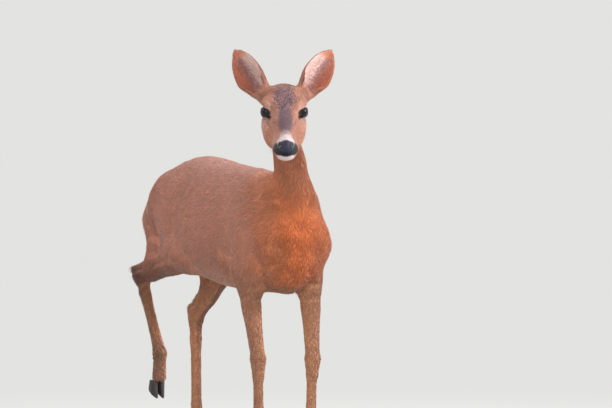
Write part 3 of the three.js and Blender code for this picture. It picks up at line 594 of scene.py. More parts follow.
def mouth_gap(places):
    """How far each place on the muzzle is above the slit of the mouth."""
    share = (MOUTH_FRONT[0] - places[:, 0]) / (MOUTH_FRONT[0] - MOUTH_CORNER[0])
    slit = MOUTH_FRONT[1] + share * (MOUTH_CORNER[1] - MOUTH_FRONT[1])
    return places[:, 1] - np.minimum(slit, MOUTH_FRONT[1])


def muzzle_relief(points):
    """Nose pad, nostrils, philtrum and mouth, in millimetres outwards."""
    places = folded_head(points)
    along, dorsal, side = places.T
    gap = mouth_gap(places)
    height = -SLIT["depth"] * bell(gap, 0, SLIT["width"])
    height += UPPER_LIP["rise"] * bell(gap, UPPER_LIP["above"], UPPER_LIP["width"])
    height -= LOWER_LIP["sink"] * np.where(gap < 0, np.exp(gap / LOWER_LIP["reach"]), 0)
    height *= ramp(along, MOUTH_CORNER[0] - 4, MOUTH_CORNER[0] + 5) * (dorsal < MOUTH_UNDER)
    height += PAD_RISE * patch(places, NOSE_PAD, 0.86, 1.0)
    height -= PAD_RIM["depth"] * bell(within(places, *NOSE_PAD), PAD_RIM["at"], PAD_RIM["width"])
    height -= NOSTRIL_DEPTH * patch(places, NOSTRIL, 0.45, 1.0)
    rim = bell(within(places, *NOSTRIL), NOSTRIL_RIM["at"], NOSTRIL_RIM["width"])
    height += NOSTRIL_RIM["rise"] * rim * (along < NOSTRIL_RIM["until"])
    split = ramp(along, 196, 202) * ramp(dorsal, -46, -41) * (1 - ramp(dorsal, -30, -24))
    return height - LIP_SPLIT["depth"] * split * bell(side, 0, LIP_SPLIT["width"])


def eye_axes(side):
    """The eye's own axes as rows: towards the inner corner, up, and out of the head."""
    out = unit(EYE_OUT * (1, 1, SIDES[side]) @ HEAD_AXES)
    inner = unit(HEAD_ALONG - (HEAD_ALONG @ out) * out)
    up = unit(HEAD_DORSAL - (HEAD_DORSAL @ out) * out - (HEAD_DORSAL @ inner) * inner)
    cosine, sine = math.cos(EYE_TILT), math.sin(EYE_TILT)
    return np.stack((cosine * inner - sine * up, sine * inner + cosine * up, out))


def opening_gap(directions):
    """Millimetres from the edge of the lids' opening, negative inside, for ways out of the eyeball."""
    inner, up = directions.T[:2] * EYE_RADIUS * 1000
    length = OPENING["length"] * np.where(inner > 0, OPENING["inner"], 1.0)
    height = OPENING["height"] * np.where(up > 0, OPENING["above"], OPENING["below"])
    power = OPENING["squareness"]
    shape = (abs(inner / length) ** power + abs(up / height) ** power) ** (1 / power)
    gap = (shape - 1) * OPENING["height"]
    tear = within(np.column_stack((inner, up)), *TEAR)
    gap = np.minimum(gap, (tear - 1) * TEAR_EDGE)
    return np.where(directions[:, 2] > 0, gap, LID_END)


def eye_measures(points):
    """For each eye: its middle, millimetres from it, the way out of it, and from its opening's edge."""
    for side, eye in EYES.items():
        offset = (points - eye) * 1000
        distance = np.linalg.norm(offset, axis=1)
        way = offset / distance[:, None]
        yield eye, distance, way, opening_gap(way @ eye_axes(side).T)


def wrap_lids(points):
    """The points with the skin round each eyeball drawn over it as lids, and sunk behind the opening."""
    points = points.copy()
    radius = EYE_RADIUS * 1000
    for eye, distance, way, gap in eye_measures(points):
        near = distance < LID_END
        distance, way, gap = distance[near], way[near], gap[near]
        sunk = 1 - ramp(gap, -1.1, 0.2)
        fold = LID_FOLD["depth"] * bell(gap, LID_FOLD["at"], LID_FOLD["width"])
        rim = LID_RIM["rise"] * bell(gap, LID_RIM["at"], LID_RIM["width"])
        lid = radius + LID_THICKNESS + rim - fold
        target = sunk * (radius - LID_SUNK) + (1 - sunk) * lid
        hold = np.maximum(1 - ramp(distance, LID_REACH, LID_END), sunk)
        reach = hold * target + (1 - hold) * np.maximum(distance, target * (distance < radius))
        points[near] = eye + way * reach[:, None] / 1000
    return points


# ---------------------------------------------------------------- the sculpted skin

EARS_FROM = 0.815  # height of the ears' roots
EARS_BLEND = 0.012
EYE_ZONE = 0.026
MUZZLE_FROM = 160
THROAT = -108  # the head's forms end here, under its line


def head_zone(points):
    """Where the mesh is halved: the head and ears."""
    along, dorsal, side = head_measures(points).T
    on_head = (along > -5) & (dorsal > THROAT) & (abs(side) < 60)
    return on_head | (points[:, 2] > EARS_FROM)


def face_zone(points):
    """Where it is halved again: round the eyes and on the muzzle."""
    near_eyes = np.min([np.linalg.norm(points - eye, axis=1) for eye in EYES.values()], axis=0)
    return (near_eyes < EYE_ZONE) | (head_zone(points) & (head_measures(points)[:, 0] > MUZZLE_FROM))


def smoothed(points, triangles, share, rounds, second_step):
    """The points evened out where share is above 0, by two steps in each round."""
    ends = np.concatenate([triangles[:, [0, 1]], triangles[:, [1, 2]], triangles[:, [2, 0]]])
    both = np.concatenate([ends, ends[:, ::-1]])
    count = np.bincount(both[:, 0], minlength=len(points))
    for step in (STEP, second_step) * rounds:
        sums = [np.bincount(both[:, 0], points[both[:, 1], axis], len(points)) for axis in range(3)]
        points = points + step * share[:, None] * (np.stack(sums, axis=1) / count[:, None] - points)
    return points


def outwards(points, triangles, height):
    """The points moved along their normals by a height in millimetres."""
    return points + normals_of(points, triangles) * height[:, None] / 1000


def skin_shape():
    """The skin's mesh with its sculpted points."""
    grid, field = flesh_field()
    mesh = refined(*grid.surface(field), [head_zone, face_zone])
    points, triangles = arrays_of(mesh)
    for _ in range(2):
        points = points - normals_of(points, triangles) * grid.sample(field, points)[:, None]
    on_ears = ramp(points[:, 2], EARS_FROM, EARS_FROM + EARS_BLEND)
    points = smoothed(points, triangles, on_ears, EAR_ROUNDS, STEP_BACK)
    both_ways = abs(body_measures(points))
    creased = np.max([along_line(both_ways, *crease) for crease in CREASES], axis=0)
    points = smoothed(points, triangles, creased, CREASE_ROUNDS, STEP_ON)
    points = outwards(points, triangles, body_relief(points) + head_relief(points))
    points = wrap_lids(points)
    points = outwards(points, triangles, muzzle_relief(points))
    return mesh, points, triangles


skin_mesh, points, triangles = skin_shape()
normals = normals_of(points, triangles)

# ---------------------------------------------------------------- markings and painted light and shade, the same on skin and coat

COLOURS = {  # as they are seen, from 0 to 255
    "coat": (184, 120, 97),
    # back: the coat's colour lightened as a painted highlight along the top of the back
    "back": (208, 154, 139),
    "neck": (192, 114, 74),
    "chest": (220, 112, 52),
    "throat": (168, 104, 74),
    "belly": (190, 146, 116),
    # brisket_and_fold_shade: the brisket's own darker brown, also laid along folds as painted shade
    "brisket_and_fold_shade": (150, 98, 66),
    "rump": (240, 214, 190),
    "tail": (206, 168, 140),
    "inner_leg": (196, 136, 98),
    "foreleg": (166, 114, 86),
    # shank_and_hock_shade: the shank's own dark brown, darkened further as painted shade round the hock
    "shank_and_hock_shade": (106, 64, 46),
    "cannon": (146, 98, 70),
    "foot": (120, 86, 66),
    "face": (172, 116, 94),
    "cheek": (174, 132, 122),
    "cheek_side": (182, 116, 86),
    "crown": (96, 70, 74),
    "nose_stripe": (104, 80, 88),
    "white": (212, 196, 198),
    "brow": (200, 154, 138),
    "nose_side": (134, 92, 80),
    "muzzle_grey": (168, 136, 130),
    "dark": (62, 44, 42),
    "lid": (28, 22, 22),
    # nose: the black pad, tinted blue as a painted sheen
    "nose": (37, 35, 60),
    "lips": (24, 18, 26),
    # mouth: black laid as painted shade in the mouth, along its slit and in the nostrils
    "mouth": (14, 10, 11),
    "ear_back": (164, 108, 86),
    "ear_edge": (78, 54, 48),
    "ear_rim": (198, 112, 80),
    "ear_hair": (238, 204, 194),
    "ear_middle": (176, 112, 104),
    # ear_hollow_shade: painted shade up the middle of the ear's hollow
    "ear_hollow_shade": (112, 66, 68),
    "eyeball": (34, 26, 26),
    "iris": (30, 26, 34),
    # pupil: dark, tinted blue as a painted sheen
    "pupil": (10, 14, 32),
    "horn": (44, 36, 32),
}
COLOURS = {name: np.array(colour) / 255 for name, colour in COLOURS.items()}

# Patches of the head, on both sides: middle and reaches (along, dorsal, side), colour and strength.
CROWN = ((60, 0, 0), (56, 30, 29))
HEAD_PATCHES = (
    ((70, -60, 40), (90, 50, 34), "cheek", 0.55),
    ((120, -60, 30), (44, 26, 22), "cheek_side", 0.5),
    (*CROWN, "crown", 0.9),
    ((128, -8, 0), (62, 16, 17), "nose_stripe", 0.9),
    ((34, -22, 42), (22, 16, 14), "nose_side", 0.45),
    # painted shade: a dark line down each side of the nose, in its hollow
    ((138, -18, 25), (40, 8, 7), "nose_side", 0.5),
    ((104, -50, 42), (18, 11, 12), "brow", 0.45),
    ((164, -38, 27), (20, 14, 10), "muzzle_grey", 0.5),
    ((146, -12, 0), (24, 14, 23), "nose_stripe", 0.5),
    ((84, -10, 36), (15, 13, 9), "brow", 0.9),
    # painted highlight: a pale line beside the bridge of the nose
    ((104, -16, 26), (22, 9, 8), "brow", 0.4),
    ((175, -14, 0), (21, 15, 22), "white", 0.5),
    ((181, -16, 0), (13, 13, 20), "white", 0.85),
    ((182, -25, 17), (12, 11, 9), "white", 0.8),
    ((102, -26, 31), (6, 5, 6), "dark", 0.8),
    ((154, -32, 29), (7, 7, 6), "nose_side", 0.5),
    ((190, -35, 23), (14, 12, 10), "lips", 0.95),
    ((200, -37, 16), (12, 11, 10), "lips", 0.95),
    ((206, -34, 0), (15, 13, 20), "lips", 1.0),
    # painted shade under the nose pad, where the mouth opens
    ((208, -38, 0), (14, 6, 14), "mouth", 1.0),
    ((150, -82, 0), (44, 16, 20), "throat", 0.4),
)
CHIN = dict(along=(172, 188), dorsal=(-82, -74), side=(15, 22), strength=0.95)  # white below the mouth
LIPS_WIDTH = 1.5  # of the dark line along the slit of the mouth, painted shade in the slit
LID_WIDTH = (0.4, 1.5)  # of the dark edge round each eye's opening

# Patches of the body, on both sides: a line between two places, its reach, colour and strength.
RUMP_LINE = ((-556, 0, 626), (-556, 12, 560))
BODY_PATCHES = (
    # painted highlight: the top of the back is lighter, where light falls on it
    ((-60, 0, 690), (-470, 0, 684), 72, "back", 0.95),
    ((40, 0, 800), (50, 20, 500), 82, "neck", 0.95),
    ((100, 0, 790), (84, 0, 600), 34, "throat", 0.5),
    ((78, 0, 540), (74, 0, 430), 66, "chest", 0.85),
    ((30, 0, 385), (-60, 0, 385), 50, "brisket_and_fold_shade", 0.9),
    ((-90, 0, 390), (-340, 0, 430), 62, "belly", 0.9),
    (*RUMP_LINE, 54, "rump", 1.0),
    # painted shade in the fold at the neck's base, in front of the shoulder
    ((34, 54, 604), (84, 44, 476), 15, "brisket_and_fold_shade", 0.45),
    # painted highlight along the ridge of the breast fold
    ((72, 34, 464), (34, 68, 426), 8, "belly", 0.45),
    # painted shade in the flank's hollow, before the thigh
    ((-316, 80, 618), (-330, 88, 520), 24, "brisket_and_fold_shade", 0.25),
    ((-536, 0, 560), (-490, 0, 450), 30, "rump", 0.7),
)
LEG_PATCHES = (  # joints that each stretch runs between, its reach, colour and strength
    (FORE_JOINTS, "elbow", "carpus", 48, "foreleg", 0.9),
    (FORE_JOINTS, "carpus", "fetlock", 30, "foreleg", 1.0),
    (FORE_JOINTS, "fetlock", "coronet", 26, "foot", 0.7),
    # the shank's stretches, here and at the heel below, carry painted shade round the hock over the hair's
    # own dark brown
    (HIND_JOINTS, "stifle", "hock", 44, "shank_and_hock_shade", 0.8),
    (HIND_JOINTS, "hock", "fetlock", 30, "cannon", 1.0),
    (HIND_JOINTS, "hock", "heel", 34, "shank_and_hock_shade", 0.95),
    (HIND_JOINTS, "fetlock", "coronet", 26, "foot", 0.7),
)
LEG_TOP = (400, 470)  # the legs' colours fade out between these heights
LEG_BOOST = 1.4  # each stretch is raised by this, so that its middle is full and its ends still fade
INNER_LEG = dict(facing=(0.1, 0.7), beside=(-110, -60), foot=(60, 120), top=(470, 530), strength=0.75)
TAIL_PATCH = dict(back=(548, 556), above=540, strength=0.6)

EARS_START = 14  # millimetres from the ear's root, along it, where the head's hair gives way to the ear's
EARS_HALF_CHANGE = 8
EAR_INSIDE = (0.2, 0.6)  # how far the skin faces into the hollow where its hair starts and is full
EAR_HAIR = (0.2, 0.7)  # strength of its colour at the outer edge, and added to that at the inner one
EAR_RIM = dict(across=(8, 20), tip=(84, 108), strength=0.8)  # the reddish outer edge and tip
EAR_HOLLOW_SHADE = dict(at=3, width=7, base=(18, 40), tip=(80, 104), strength=0.5)  # painted shade: the dark line up the hollow
EAR_EDGE = dict(width=0.3, strength=0.75)


def painted(colours, share, name):
    """The colours with a share of a named colour laid over them."""
    return colours + (COLOURS[name] - colours) * share[:, None]


def head_share(head, start, end):
    """0 on the neck and 1 on the head, with the change from start to end of the way down the face."""
    return ramp(head[:, 0] + 0.5 * head[:, 1], start, end) * (head[:, 1] > THROAT)


def ear_share(points):
    """1 on the ears, 0 off them."""
    across, to_tip, opening = ear_measures(points).T
    share = ramp(to_tip, EARS_START - EARS_HALF_CHANGE, EARS_START + EARS_HALF_CHANGE)
    return share * (abs(across) < 45) * (abs(opening) < 60)


def ear_facing(points, normals):
    """How far each point of an ear faces into its hollow: 1 inside, -1 on the back."""
    places = ear_measures(points)
    ways = np.where(on_left(points), normals @ EAR_AXES["left"].T, normals @ EAR_AXES["right"].T)
    inwards = np.stack((-places[:, 0], EAR_HOLLOW - places[:, 2]), axis=1)
    inwards /= np.maximum(np.linalg.norm(inwards, axis=1, keepdims=True), 1e-9)
    return np.sum(ways[:, [0, 2]] * inwards, axis=1)


def bare_share(points):
    """1 on the bare wet skin of the nose, 0 on hair."""
    head = folded_head(points)
    bare = np.maximum(patch(head, NOSE_PAD, 0.9, 1.03), patch(head, NOSTRIL, 1.1, 1.5))
    return bare * (head[:, 0] > MUZZLE_FROM)


def body_colours(points, normals):
    """The colours of the trunk, neck, legs and tail, with painted shade in folds and round the hocks, and
    painted highlights on the back and the breast fold.
    """
    body = body_measures(points)
    folded = folded_body(points)
    colours = np.tile(COLOURS["coat"], (len(points), 1))
    for start, end, reach, name, strength in BODY_PATCHES:
        colours = painted(colours, strength * along_line(folded, start, end, reach), name)
    low = 1 - ramp(body[:, 2], *LEG_TOP)
    for legs, start, end, reach, name, strength in LEG_PATCHES:
        for joints in legs.values():
            share = np.minimum(1, LEG_BOOST * along_line(body, joints[start], joints[end], reach))
            colours = painted(colours, strength * low * share, name)
    inner = ramp(-normals[:, 0] * np.sign(body[:, 1]), *INNER_LEG["facing"])
    inner *= ramp(-folded[:, 1], *INNER_LEG["beside"])
    inner *= 1 - ramp(body[:, 2], *INNER_LEG["top"])
    inner *= ramp(body[:, 2], *INNER_LEG["foot"])
    colours = painted(colours, INNER_LEG["strength"] * inner, "inner_leg")
    tail = ramp(-body[:, 0], *TAIL_PATCH["back"]) * (body[:, 2] > TAIL_PATCH["above"])
    return painted(colours, TAIL_PATCH["strength"] * tail, "tail")


def head_colours(points):
    """The colours of the face, with the dark lips and the lids' edges, painted shade and highlight beside the
    nose, and painted shade in the mouth, its slit and the nostrils.
    """
    head = folded_head(points)
    along, dorsal, side = head.T
    colours = np.tile(COLOURS["face"], (len(points), 1))
    for middle, reaches, name, strength in HEAD_PATCHES:
        colours = painted(colours, strength * patch(head, (middle, reaches)), name)
    on_lips = (along > MOUTH_CORNER[0] - 4) & (dorsal < MOUTH_UNDER)
    gap = mouth_gap(head)
    chin = ramp(-gap, 0.5, 2.5) * on_lips * (1 - ramp(side, *CHIN["side"]))
    chin *= ramp(along, *CHIN["along"]) * ramp(dorsal, *CHIN["dorsal"])
    colours = painted(colours, CHIN["strength"] * chin, "white")
    # painted shade along the slit of the mouth
    lips = bell(gap, 0, LIPS_WIDTH) * on_lips * ramp(along, 161, 176)
    colours = painted(colours, np.minimum(1, 1.3 * lips), "mouth")
    # the bare pad, whose colour holds a painted blue sheen
    colours = painted(colours, bare_share(points), "nose")
    # painted shade inside the nostrils
    colours = painted(colours, patch(head, NOSTRIL, 0.85, 1.5), "mouth")
    for _, distance, _, edge in eye_measures(points):
        near = 1 - ramp(distance - EYE_RADIUS * 1000, 5, 8)
        colours = painted(colours, near * (1 - ramp(edge, *LID_WIDTH)), "lid")
    return colours


def ear_colours(colours, points, normals):
    """The colours of the ears over those of the head: reddish backs, dark edges, pale hair in the hollows,
    and painted shade up the middle of each hollow.
    """
    facing = ear_facing(points, normals)
    across, to_tip, _ = ear_measures(points).T
    colours = painted(colours, ramp(facing, 0.0, 0.5), "ear_middle")
    pale = EAR_HAIR[0] + EAR_HAIR[1] * ramp(-across, -12, 12)
    colours = painted(colours, ramp(facing, *EAR_INSIDE) * pale, "ear_hair")
    rim = np.maximum(ramp(across, *EAR_RIM["across"]), ramp(to_tip, *EAR_RIM["tip"]))
    colours = painted(colours, EAR_RIM["strength"] * rim, "ear_rim")
    # painted shade up the middle of the hollow
    fold = bell(across, EAR_HOLLOW_SHADE["at"], EAR_HOLLOW_SHADE["width"]) * ramp(to_tip, *EAR_HOLLOW_SHADE["base"])
    fold *= 1 - ramp(to_tip, *EAR_HOLLOW_SHADE["tip"])
    colours = painted(colours, EAR_HOLLOW_SHADE["strength"] * fold, "ear_hollow_shade")
    colours = painted(colours, ramp(-facing, -0.1, 0.2), "ear_back")
    return painted(colours, EAR_EDGE["strength"] * bell(facing, 0, EAR_EDGE["width"]), "ear_edge")


def coat_colours_and_painted_light(points, normals):
    """The coat's colour at each point, from 0 to 1 as it is seen, with painted light and shade laid in."""
    colours = body_colours(points, normals)
    on_head = head_share(head_measures(points), -36, 14)[:, None]
    colours += (head_colours(points) - colours) * on_head
    return colours + (ear_colours(colours, points, normals) - colours) * ear_share(points)[:, None]


# ---------------------------------------------------------------- the lie and length of the coat

# The way the hair lies, to the left, backwards and up.
LIE = {
    "trunk": (0.0, 1.0, -0.42),
    "haunch": (0.0, 0.5, -1.0),
    "neck": (0.0, 0.42, -1.0),
    "leg": (0.0, 0.12, -1.0),
    "tail": (0.0, 0.3, -0.5),
    "belly": (0.0, 1.0, -0.1),
}
HAUNCH_LIE_FROM = (380, 500)  # millimetres behind the body's origin
LEG_LIE_BELOW = (380, 520)
NECK_LIE = dict(slope=0.5, level=600, start=(-30, 60))  # forward of a line that leans forward to its foot
BELLY_LIE = dict(facing=(0.35, 0.8), top=(440, 480), above=360)
TAIL_LIE = ((-556, 0, 640), (-560, 0, 560), 60)
TAIL_PART = 0.6  # how far the hair of the rump parts to the sides of the tail
TAIL_PART_WIDTH = 30
FACE_LIE = -HEAD_ALONG - 0.2 * HEAD_DORSAL
FACE_PART = 0.25
EAR_SWEEP = 0.7  # how far the hair in the ear's hollow sweeps to its edges


def along_skin(ways, normals):
    """The ways laid along the skin, with length 1."""
    ways = ways - np.sum(ways * normals, axis=1, keepdims=True) * normals
    return ways / np.maximum(np.linalg.norm(ways, axis=1, keepdims=True), 1e-9)


def hair_ways(points, normals):
    """The way the coat lies at each point, along the skin and of length 1."""
    forward, left, up = body_measures(points).T
    head = head_measures(points)
    ways = np.tile(LIE["trunk"], (len(points), 1))

    def turn(share, way):
        nonlocal ways
        ways = ways + share[:, None] * (way - ways)

    turn(ramp(-forward, *HAUNCH_LIE_FROM), LIE["haunch"])
    on_neck = forward + NECK_LIE["slope"] * (up - NECK_LIE["level"])
    turn(ramp(on_neck, *NECK_LIE["start"]), LIE["neck"])
    turn(1 - ramp(up, *LEG_LIE_BELOW), LIE["leg"])
    parting = np.clip(left / TAIL_PART_WIDTH, -1, 1)[:, None] * (TAIL_PART, 0.0, 0.0)
    turn(along_line(body_measures(points), *TAIL_LIE), LIE["tail"] + parting)
    under = ramp(-normals[:, 2], *BELLY_LIE["facing"]) * (1 - ramp(up, *BELLY_LIE["top"]))
    turn(under * (up > BELLY_LIE["above"]), LIE["belly"])
    turn(head_share(head, -30, 10), FACE_LIE + FACE_PART * np.sign(head[:, 2:]) * HEAD_SIDE)
    inside = ramp(ear_facing(points, normals), *EAR_INSIDE)
    sweep = -EAR_SWEEP * inside * np.sign(ear_measures(points)[:, 0])
    for side, (across, to_tip, _) in EAR_AXES.items():
        mine = ear_share(points) * (on_left(points)[:, 0] == (side == "left"))
        turn(mine, to_tip + sweep[:, None] * across)
    return along_skin(ways, normals)


# ---------------------------------------------------------------- materials


def seen(colour):
    """A colour as it is seen, from 0 to 1, turned into the light that it reflects."""
    colour = np.asarray(colour, float)
    return np.where(colour <= 0.04045, colour / 12.92, ((colour + 0.055) / 1.055) ** 2.4)


def fill(new, values):
    """Sets a node's inputs by name."""
    for name, value in values.items():
        new.inputs[name.replace("_", " ")].default_value = value


def material(name, **values):
    """A material with its nodes, and the node of its surface with its inputs' values."""
    made = bpy.data.materials.new(name)
    made.use_nodes = True
    surface = made.node_tree.nodes["Principled BSDF"]
    fill(surface, values)
    return made, surface


def node(made, kind, **values):
    """A new node with its inputs' values."""
    new = made.node_tree.nodes.new(kind)
    fill(new, values)
    return new


def wire(made, start, end):
    made.node_tree.links.new(start, end)


def attribute(made, name, output):
    new = node(made, "ShaderNodeAttribute")
    new.attribute_name = name
    return new.outputs[output]


def here(made):
    return node(made, "ShaderNodeTexCoord").outputs["Object"]


def noise(made, scale, detail=3.0, place=None):
    """Noise on the object's own coordinates, or on a place given."""
    new = node(made, "ShaderNodeTexNoise", Scale=scale, Detail=detail)
    wire(made, here(made) if place is None else place, new.inputs["Vector"])
    return new.outputs["Fac"]


def spread(made, value, low, high):
    """A value from 0 to 1 moved to between low and high."""
    new = node(made, "ShaderNodeMapRange", To_Min=low, To_Max=high)
    wire(made, value, new.inputs["Value"])
    return new.outputs["Result"]


def blended(made, share, first, second):
    new = node(made, "ShaderNodeMix")
    for name, value in (("Factor", share), ("A", first), ("B", second)):
        wire(made, value, new.inputs[name])
    return new.outputs["Result"]


def shaded(made, surface, *shares):
    """The mesh's own colour multiplied by each share, onto the surface."""
    colour = attribute(made, "colour", "Color")
    for share in shares:
        mix = node(made, "ShaderNodeVectorMath")
        mix.operation = "SCALE"
        wire(made, colour, mix.inputs[0])
        wire(made, share, mix.inputs["Scale"])
        colour = mix.outputs[0]
    wire(made, colour, surface.inputs["Base Color"])


def bumped(made, surface, height, distance, strength):
    bump = node(made, "ShaderNodeBump", Strength=strength, Distance=distance)
    wire(made, height, bump.inputs["Height"])
    wire(made, bump.outputs["Normal"], surface.inputs["Normal"])


def hide_material():
    """Short flat hair in fine strands, and the bare pebbled nose."""
    made, surface = material(
        "short_hair", Roughness=0.7, Specular_IOR_Level=0.3, Sheen_Weight=0.15, Sheen_Roughness=0.5
    )
    bare = attribute(made, "bare", "Fac")
    strands = noise(made, 700, 2.0, attribute(made, "grain", "Vector"))
    shaded(made, surface, spread(made, strands, 0.84, 1.16), spread(made, noise(made, 28), 0.88, 1.12))
    cells = node(made, "ShaderNodeTexVoronoi", Scale=900)
    wire(made, here(made), cells.inputs["Vector"])
    pebbles = cells.outputs["Distance"]
    bumped(made, surface, blended(made, bare, strands, pebbles), 0.0006, 0.7)
    rough = blended(made, bare, spread(made, strands, 0.6, 0.85), spread(made, pebbles, 0.28, 0.42))
    wire(made, rough, surface.inputs["Roughness"])
    return made


def hair_material():
    """The tufts of the coat."""
    made, surface = material(
        "coat_hair", Roughness=0.62, Specular_IOR_Level=0.35, Sheen_Weight=0.12, Sheen_Roughness=0.45
    )
    fine = noise(made, 900, 2.0)
    shaded(made, surface, spread(made, fine, 0.85, 1.15), spread(made, noise(made, 28), 0.88, 1.12))
    wire(made, spread(made, fine, 0.52, 0.72), surface.inputs["Roughness"])
    bumped(made, surface, fine, 0.0002, 0.5)
    return made


def eye_material():
    """A dark eyeball under a wet cornea."""
    made, surface = material(
        "eye_gloss", Roughness=0.35, Specular_IOR_Level=0.1,
        Coat_Weight=0.6, Coat_IOR=1.3, Coat_Roughness=0.02,
    )
    fibres = noise(made, 1400, 2.0)
    shaded(made, surface, spread(made, fibres, 0.75, 1.25))
    wire(made, spread(made, fibres, 0.3, 0.4), surface.inputs["Roughness"])
    return made


def horn_material():
    """Dark horn with fine upright streaks and dust."""
    made, surface = material("hoof_horn", Roughness=0.45, Specular_IOR_Level=0.5)
    streaks = noise(made, 420, 3.0, attribute(made, "grain", "Vector"))
    dust = noise(made, 90)
    shaded(made, surface, spread(made, streaks, 0.7, 1.3), spread(made, dust, 0.85, 1.15))
    wire(made, spread(made, dust, 0.35, 0.62), surface.inputs["Roughness"])
    bumped(made, surface, streaks, 0.0003, 0.6)
    return made


# ---------------------------------------------------------------- pieces


def values_on(mesh, name, values):
    """An attribute on the corners of a mesh: a colour with four columns, a vector with three, or a number."""
    kinds = {4: ("FLOAT_COLOR", "color"), 3: ("FLOAT_VECTOR", "vector"), 1: ("FLOAT", "value")}
    kind, key = kinds[values.shape[1]]
    layer = mesh.attributes.new(name, kind, "POINT")
    layer.data.foreach_set(key, values.astype(np.float32).ravel())


def coloured(mesh, colours):
    """The colours of a mesh's corners, as they are seen."""
    values_on(mesh, "colour", np.column_stack((seen(np.clip(colours, 0, 1)), np.ones(len(colours)))))


def dress(name, mesh, surface, nodes=()):
    """The mesh as a piece, with its material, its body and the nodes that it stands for."""
    piece = link(name, mesh)
    piece.data.materials.append(surface)
    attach(piece, "root")
    if nodes:
        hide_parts(*nodes)


GRAIN = 0.16  # noise on the hair's grain is this much finer across the hair than along it
FACE_GRAIN = 0.2


def grain(points):
    """Places squeezed along the lie of the hair, so that noise on them runs in strands."""
    forward, _, up = body_measures(points).T
    head = ramp(head_measures(points)[:, 0], -20, 20) * (points[:, 2] > 0.7)
    down = np.maximum(1 - ramp(up, 400, 520), ramp(forward, -20, 60))
    lengthwise, upright = points * (1, GRAIN, 1), points * (1, 1, GRAIN)
    facewise = head_measures(points) / 1000 * (FACE_GRAIN, 1, 1)
    places = lengthwise + (upright - lengthwise) * down[:, None]
    return places + (facewise - places) * head[:, None]


skin_mesh.vertices.foreach_set("co", points.astype(np.float32).ravel())
skin_mesh.polygons.foreach_set("use_smooth", np.ones(len(skin_mesh.polygons), bool))
coloured(skin_mesh, coat_colours_and_painted_light(points, normals))
values_on(skin_mesh, "bare", bare_share(points)[:, None])
values_on(skin_mesh, "grain", grain(points))
skin_mesh.update()
dress("skin", skin_mesh, hide_material(), [name for name in FLESH_NODES if kind_of(name) != "eye"])

# ---------------------------------------------------------------- tufts of the coat

# Hair by region: length, width and height above the skin at its tip in millimetres, and tufts in a square
# centimetre of skin.
HAIR = {
    "body": (14.0, 1.15, 1.1, 14.5),
    "neck": (13.0, 1.1, 1.0, 16.0),
    "belly": (18.0, 1.3, 2.4, 14.0),
    "rump": (19.0, 1.2, 4.2, 17.0),
    "leg": (8.0, 1.2, 1.0, 15.0),
    "foot": (7.0, 1.2, 1.2, 18.0),
    "tail": (16.0, 1.4, 2.6, 18.0),
    "face": (5.0, 0.9, 0.6, 26.0),
    "crown": (3.8, 0.9, 0.6, 40.0),
    "cheek": (7.0, 1.3, 1.1, 20.0),
    "muzzle": (2.6, 0.7, 0.3, 42.0),
    "ear": (4.6, 0.85, 0.5, 34.0),
    "ear_inside": (13.0, 0.9, 2.4, 28.0),
}
HAIR_LINES = (
    ((60, 0, 780), (60, 20, 520), 80, "neck"),
    ((60, 0, 400), (-330, 0, 430), 55, "belly"),
    ((84, 0, 520), (70, 0, 420), 45, "belly"),
    (*RUMP_LINE, 56, "rump"),
    ((-555, 0, 592), (-576, 0, 562), 16, "tail"),
)
LOW_HAIR = ((330, 440, "leg"), (60, 110, "foot"))  # full below the first height, gone above the second
MUZZLE_HAIR = (140, 180)
CHEEK = ((50, -70, 40), (50, 40, 30))
MOUTH_BARE = 1.6  # millimetres from the slit of the mouth
LIDS_BARE = 3.0  # and from the opening of the eye, where no tuft grows

ROOT_SINK = 0.6  # millimetres that each tuft starts under the skin
MIDDLE_AT = 0.45
MIDDLE_RISE = 0.7
TUFT_HALVES = (0.35, 0.5)  # half widths at the root and the middle, as shares of the width
TUFT_RIDGE = 0.36
TUFT_TONES = (0.9, 1.0, 1.07)  # at the root, the middle and the tip: painted shade darkens the root and painted light brightens the tip
BAKE_PATCH = 0.003

SEED = 11
WAY_SCATTER = 0.09
TONE_SCATTER = 0.06
TINT_SCATTER = 0.012
SIZE_SCATTER = 0.13
SPECKLE = 0.5  # how much darker or lighter the crown's single hairs are
FACE_SPECKLE = 0.22  # of that on the rest of the face
FACE = ((100, -40, 0), (130, 90, 70))
random = np.random.default_rng(SEED)


def hair_sizes(points, normals):
    """Length, width, height and number in a square centimetre of the hair at each point."""
    folded = folded_body(points)
    sizes = np.tile(HAIR["body"], (len(points), 1))

    def blend(share, name):
        nonlocal sizes
        sizes = sizes + (np.array(HAIR[name]) - sizes) * share[:, None]

    for start, end, reach, name in HAIR_LINES:
        blend(along_line(folded, start, end, reach), name)
    for full, gone, name in LOW_HAIR:
        blend(1 - ramp(folded[:, 2], full, gone), name)
    head = folded_head(points)
    on_head = head_share(head, -24, 6)
    blend(on_head, "face")
    blend(on_head * patch(head, CHEEK, 0.6, 1.1), "cheek")
    blend(on_head * patch(head, CROWN, 0.7, 1.1), "crown")
    blend(on_head * ramp(head[:, 0], *MUZZLE_HAIR), "muzzle")
    blend(ear_share(points), "ear")
    across, to_tip, _ = ear_measures(points).T
    open_part = ramp(-to_tip, -98, -62) * ramp(-abs(across), -24, -12)
    blend(ear_share(points) * open_part * ramp(ear_facing(points, normals), 0.3, 0.7), "ear_inside")
    on_lips = (head[:, 0] > MOUTH_CORNER[0]) & (head[:, 1] < MOUTH_UNDER)
    sizes[:, 3] *= (1 - bare_share(points)) * ~(on_lips & (abs(mouth_gap(head)) < MOUTH_BARE))
    for _, distance, _, gap in eye_measures(points):
        sizes[:, 3] *= (gap > LIDS_BARE) | (distance > EYE_RADIUS * 1000 + 8)
    return sizes


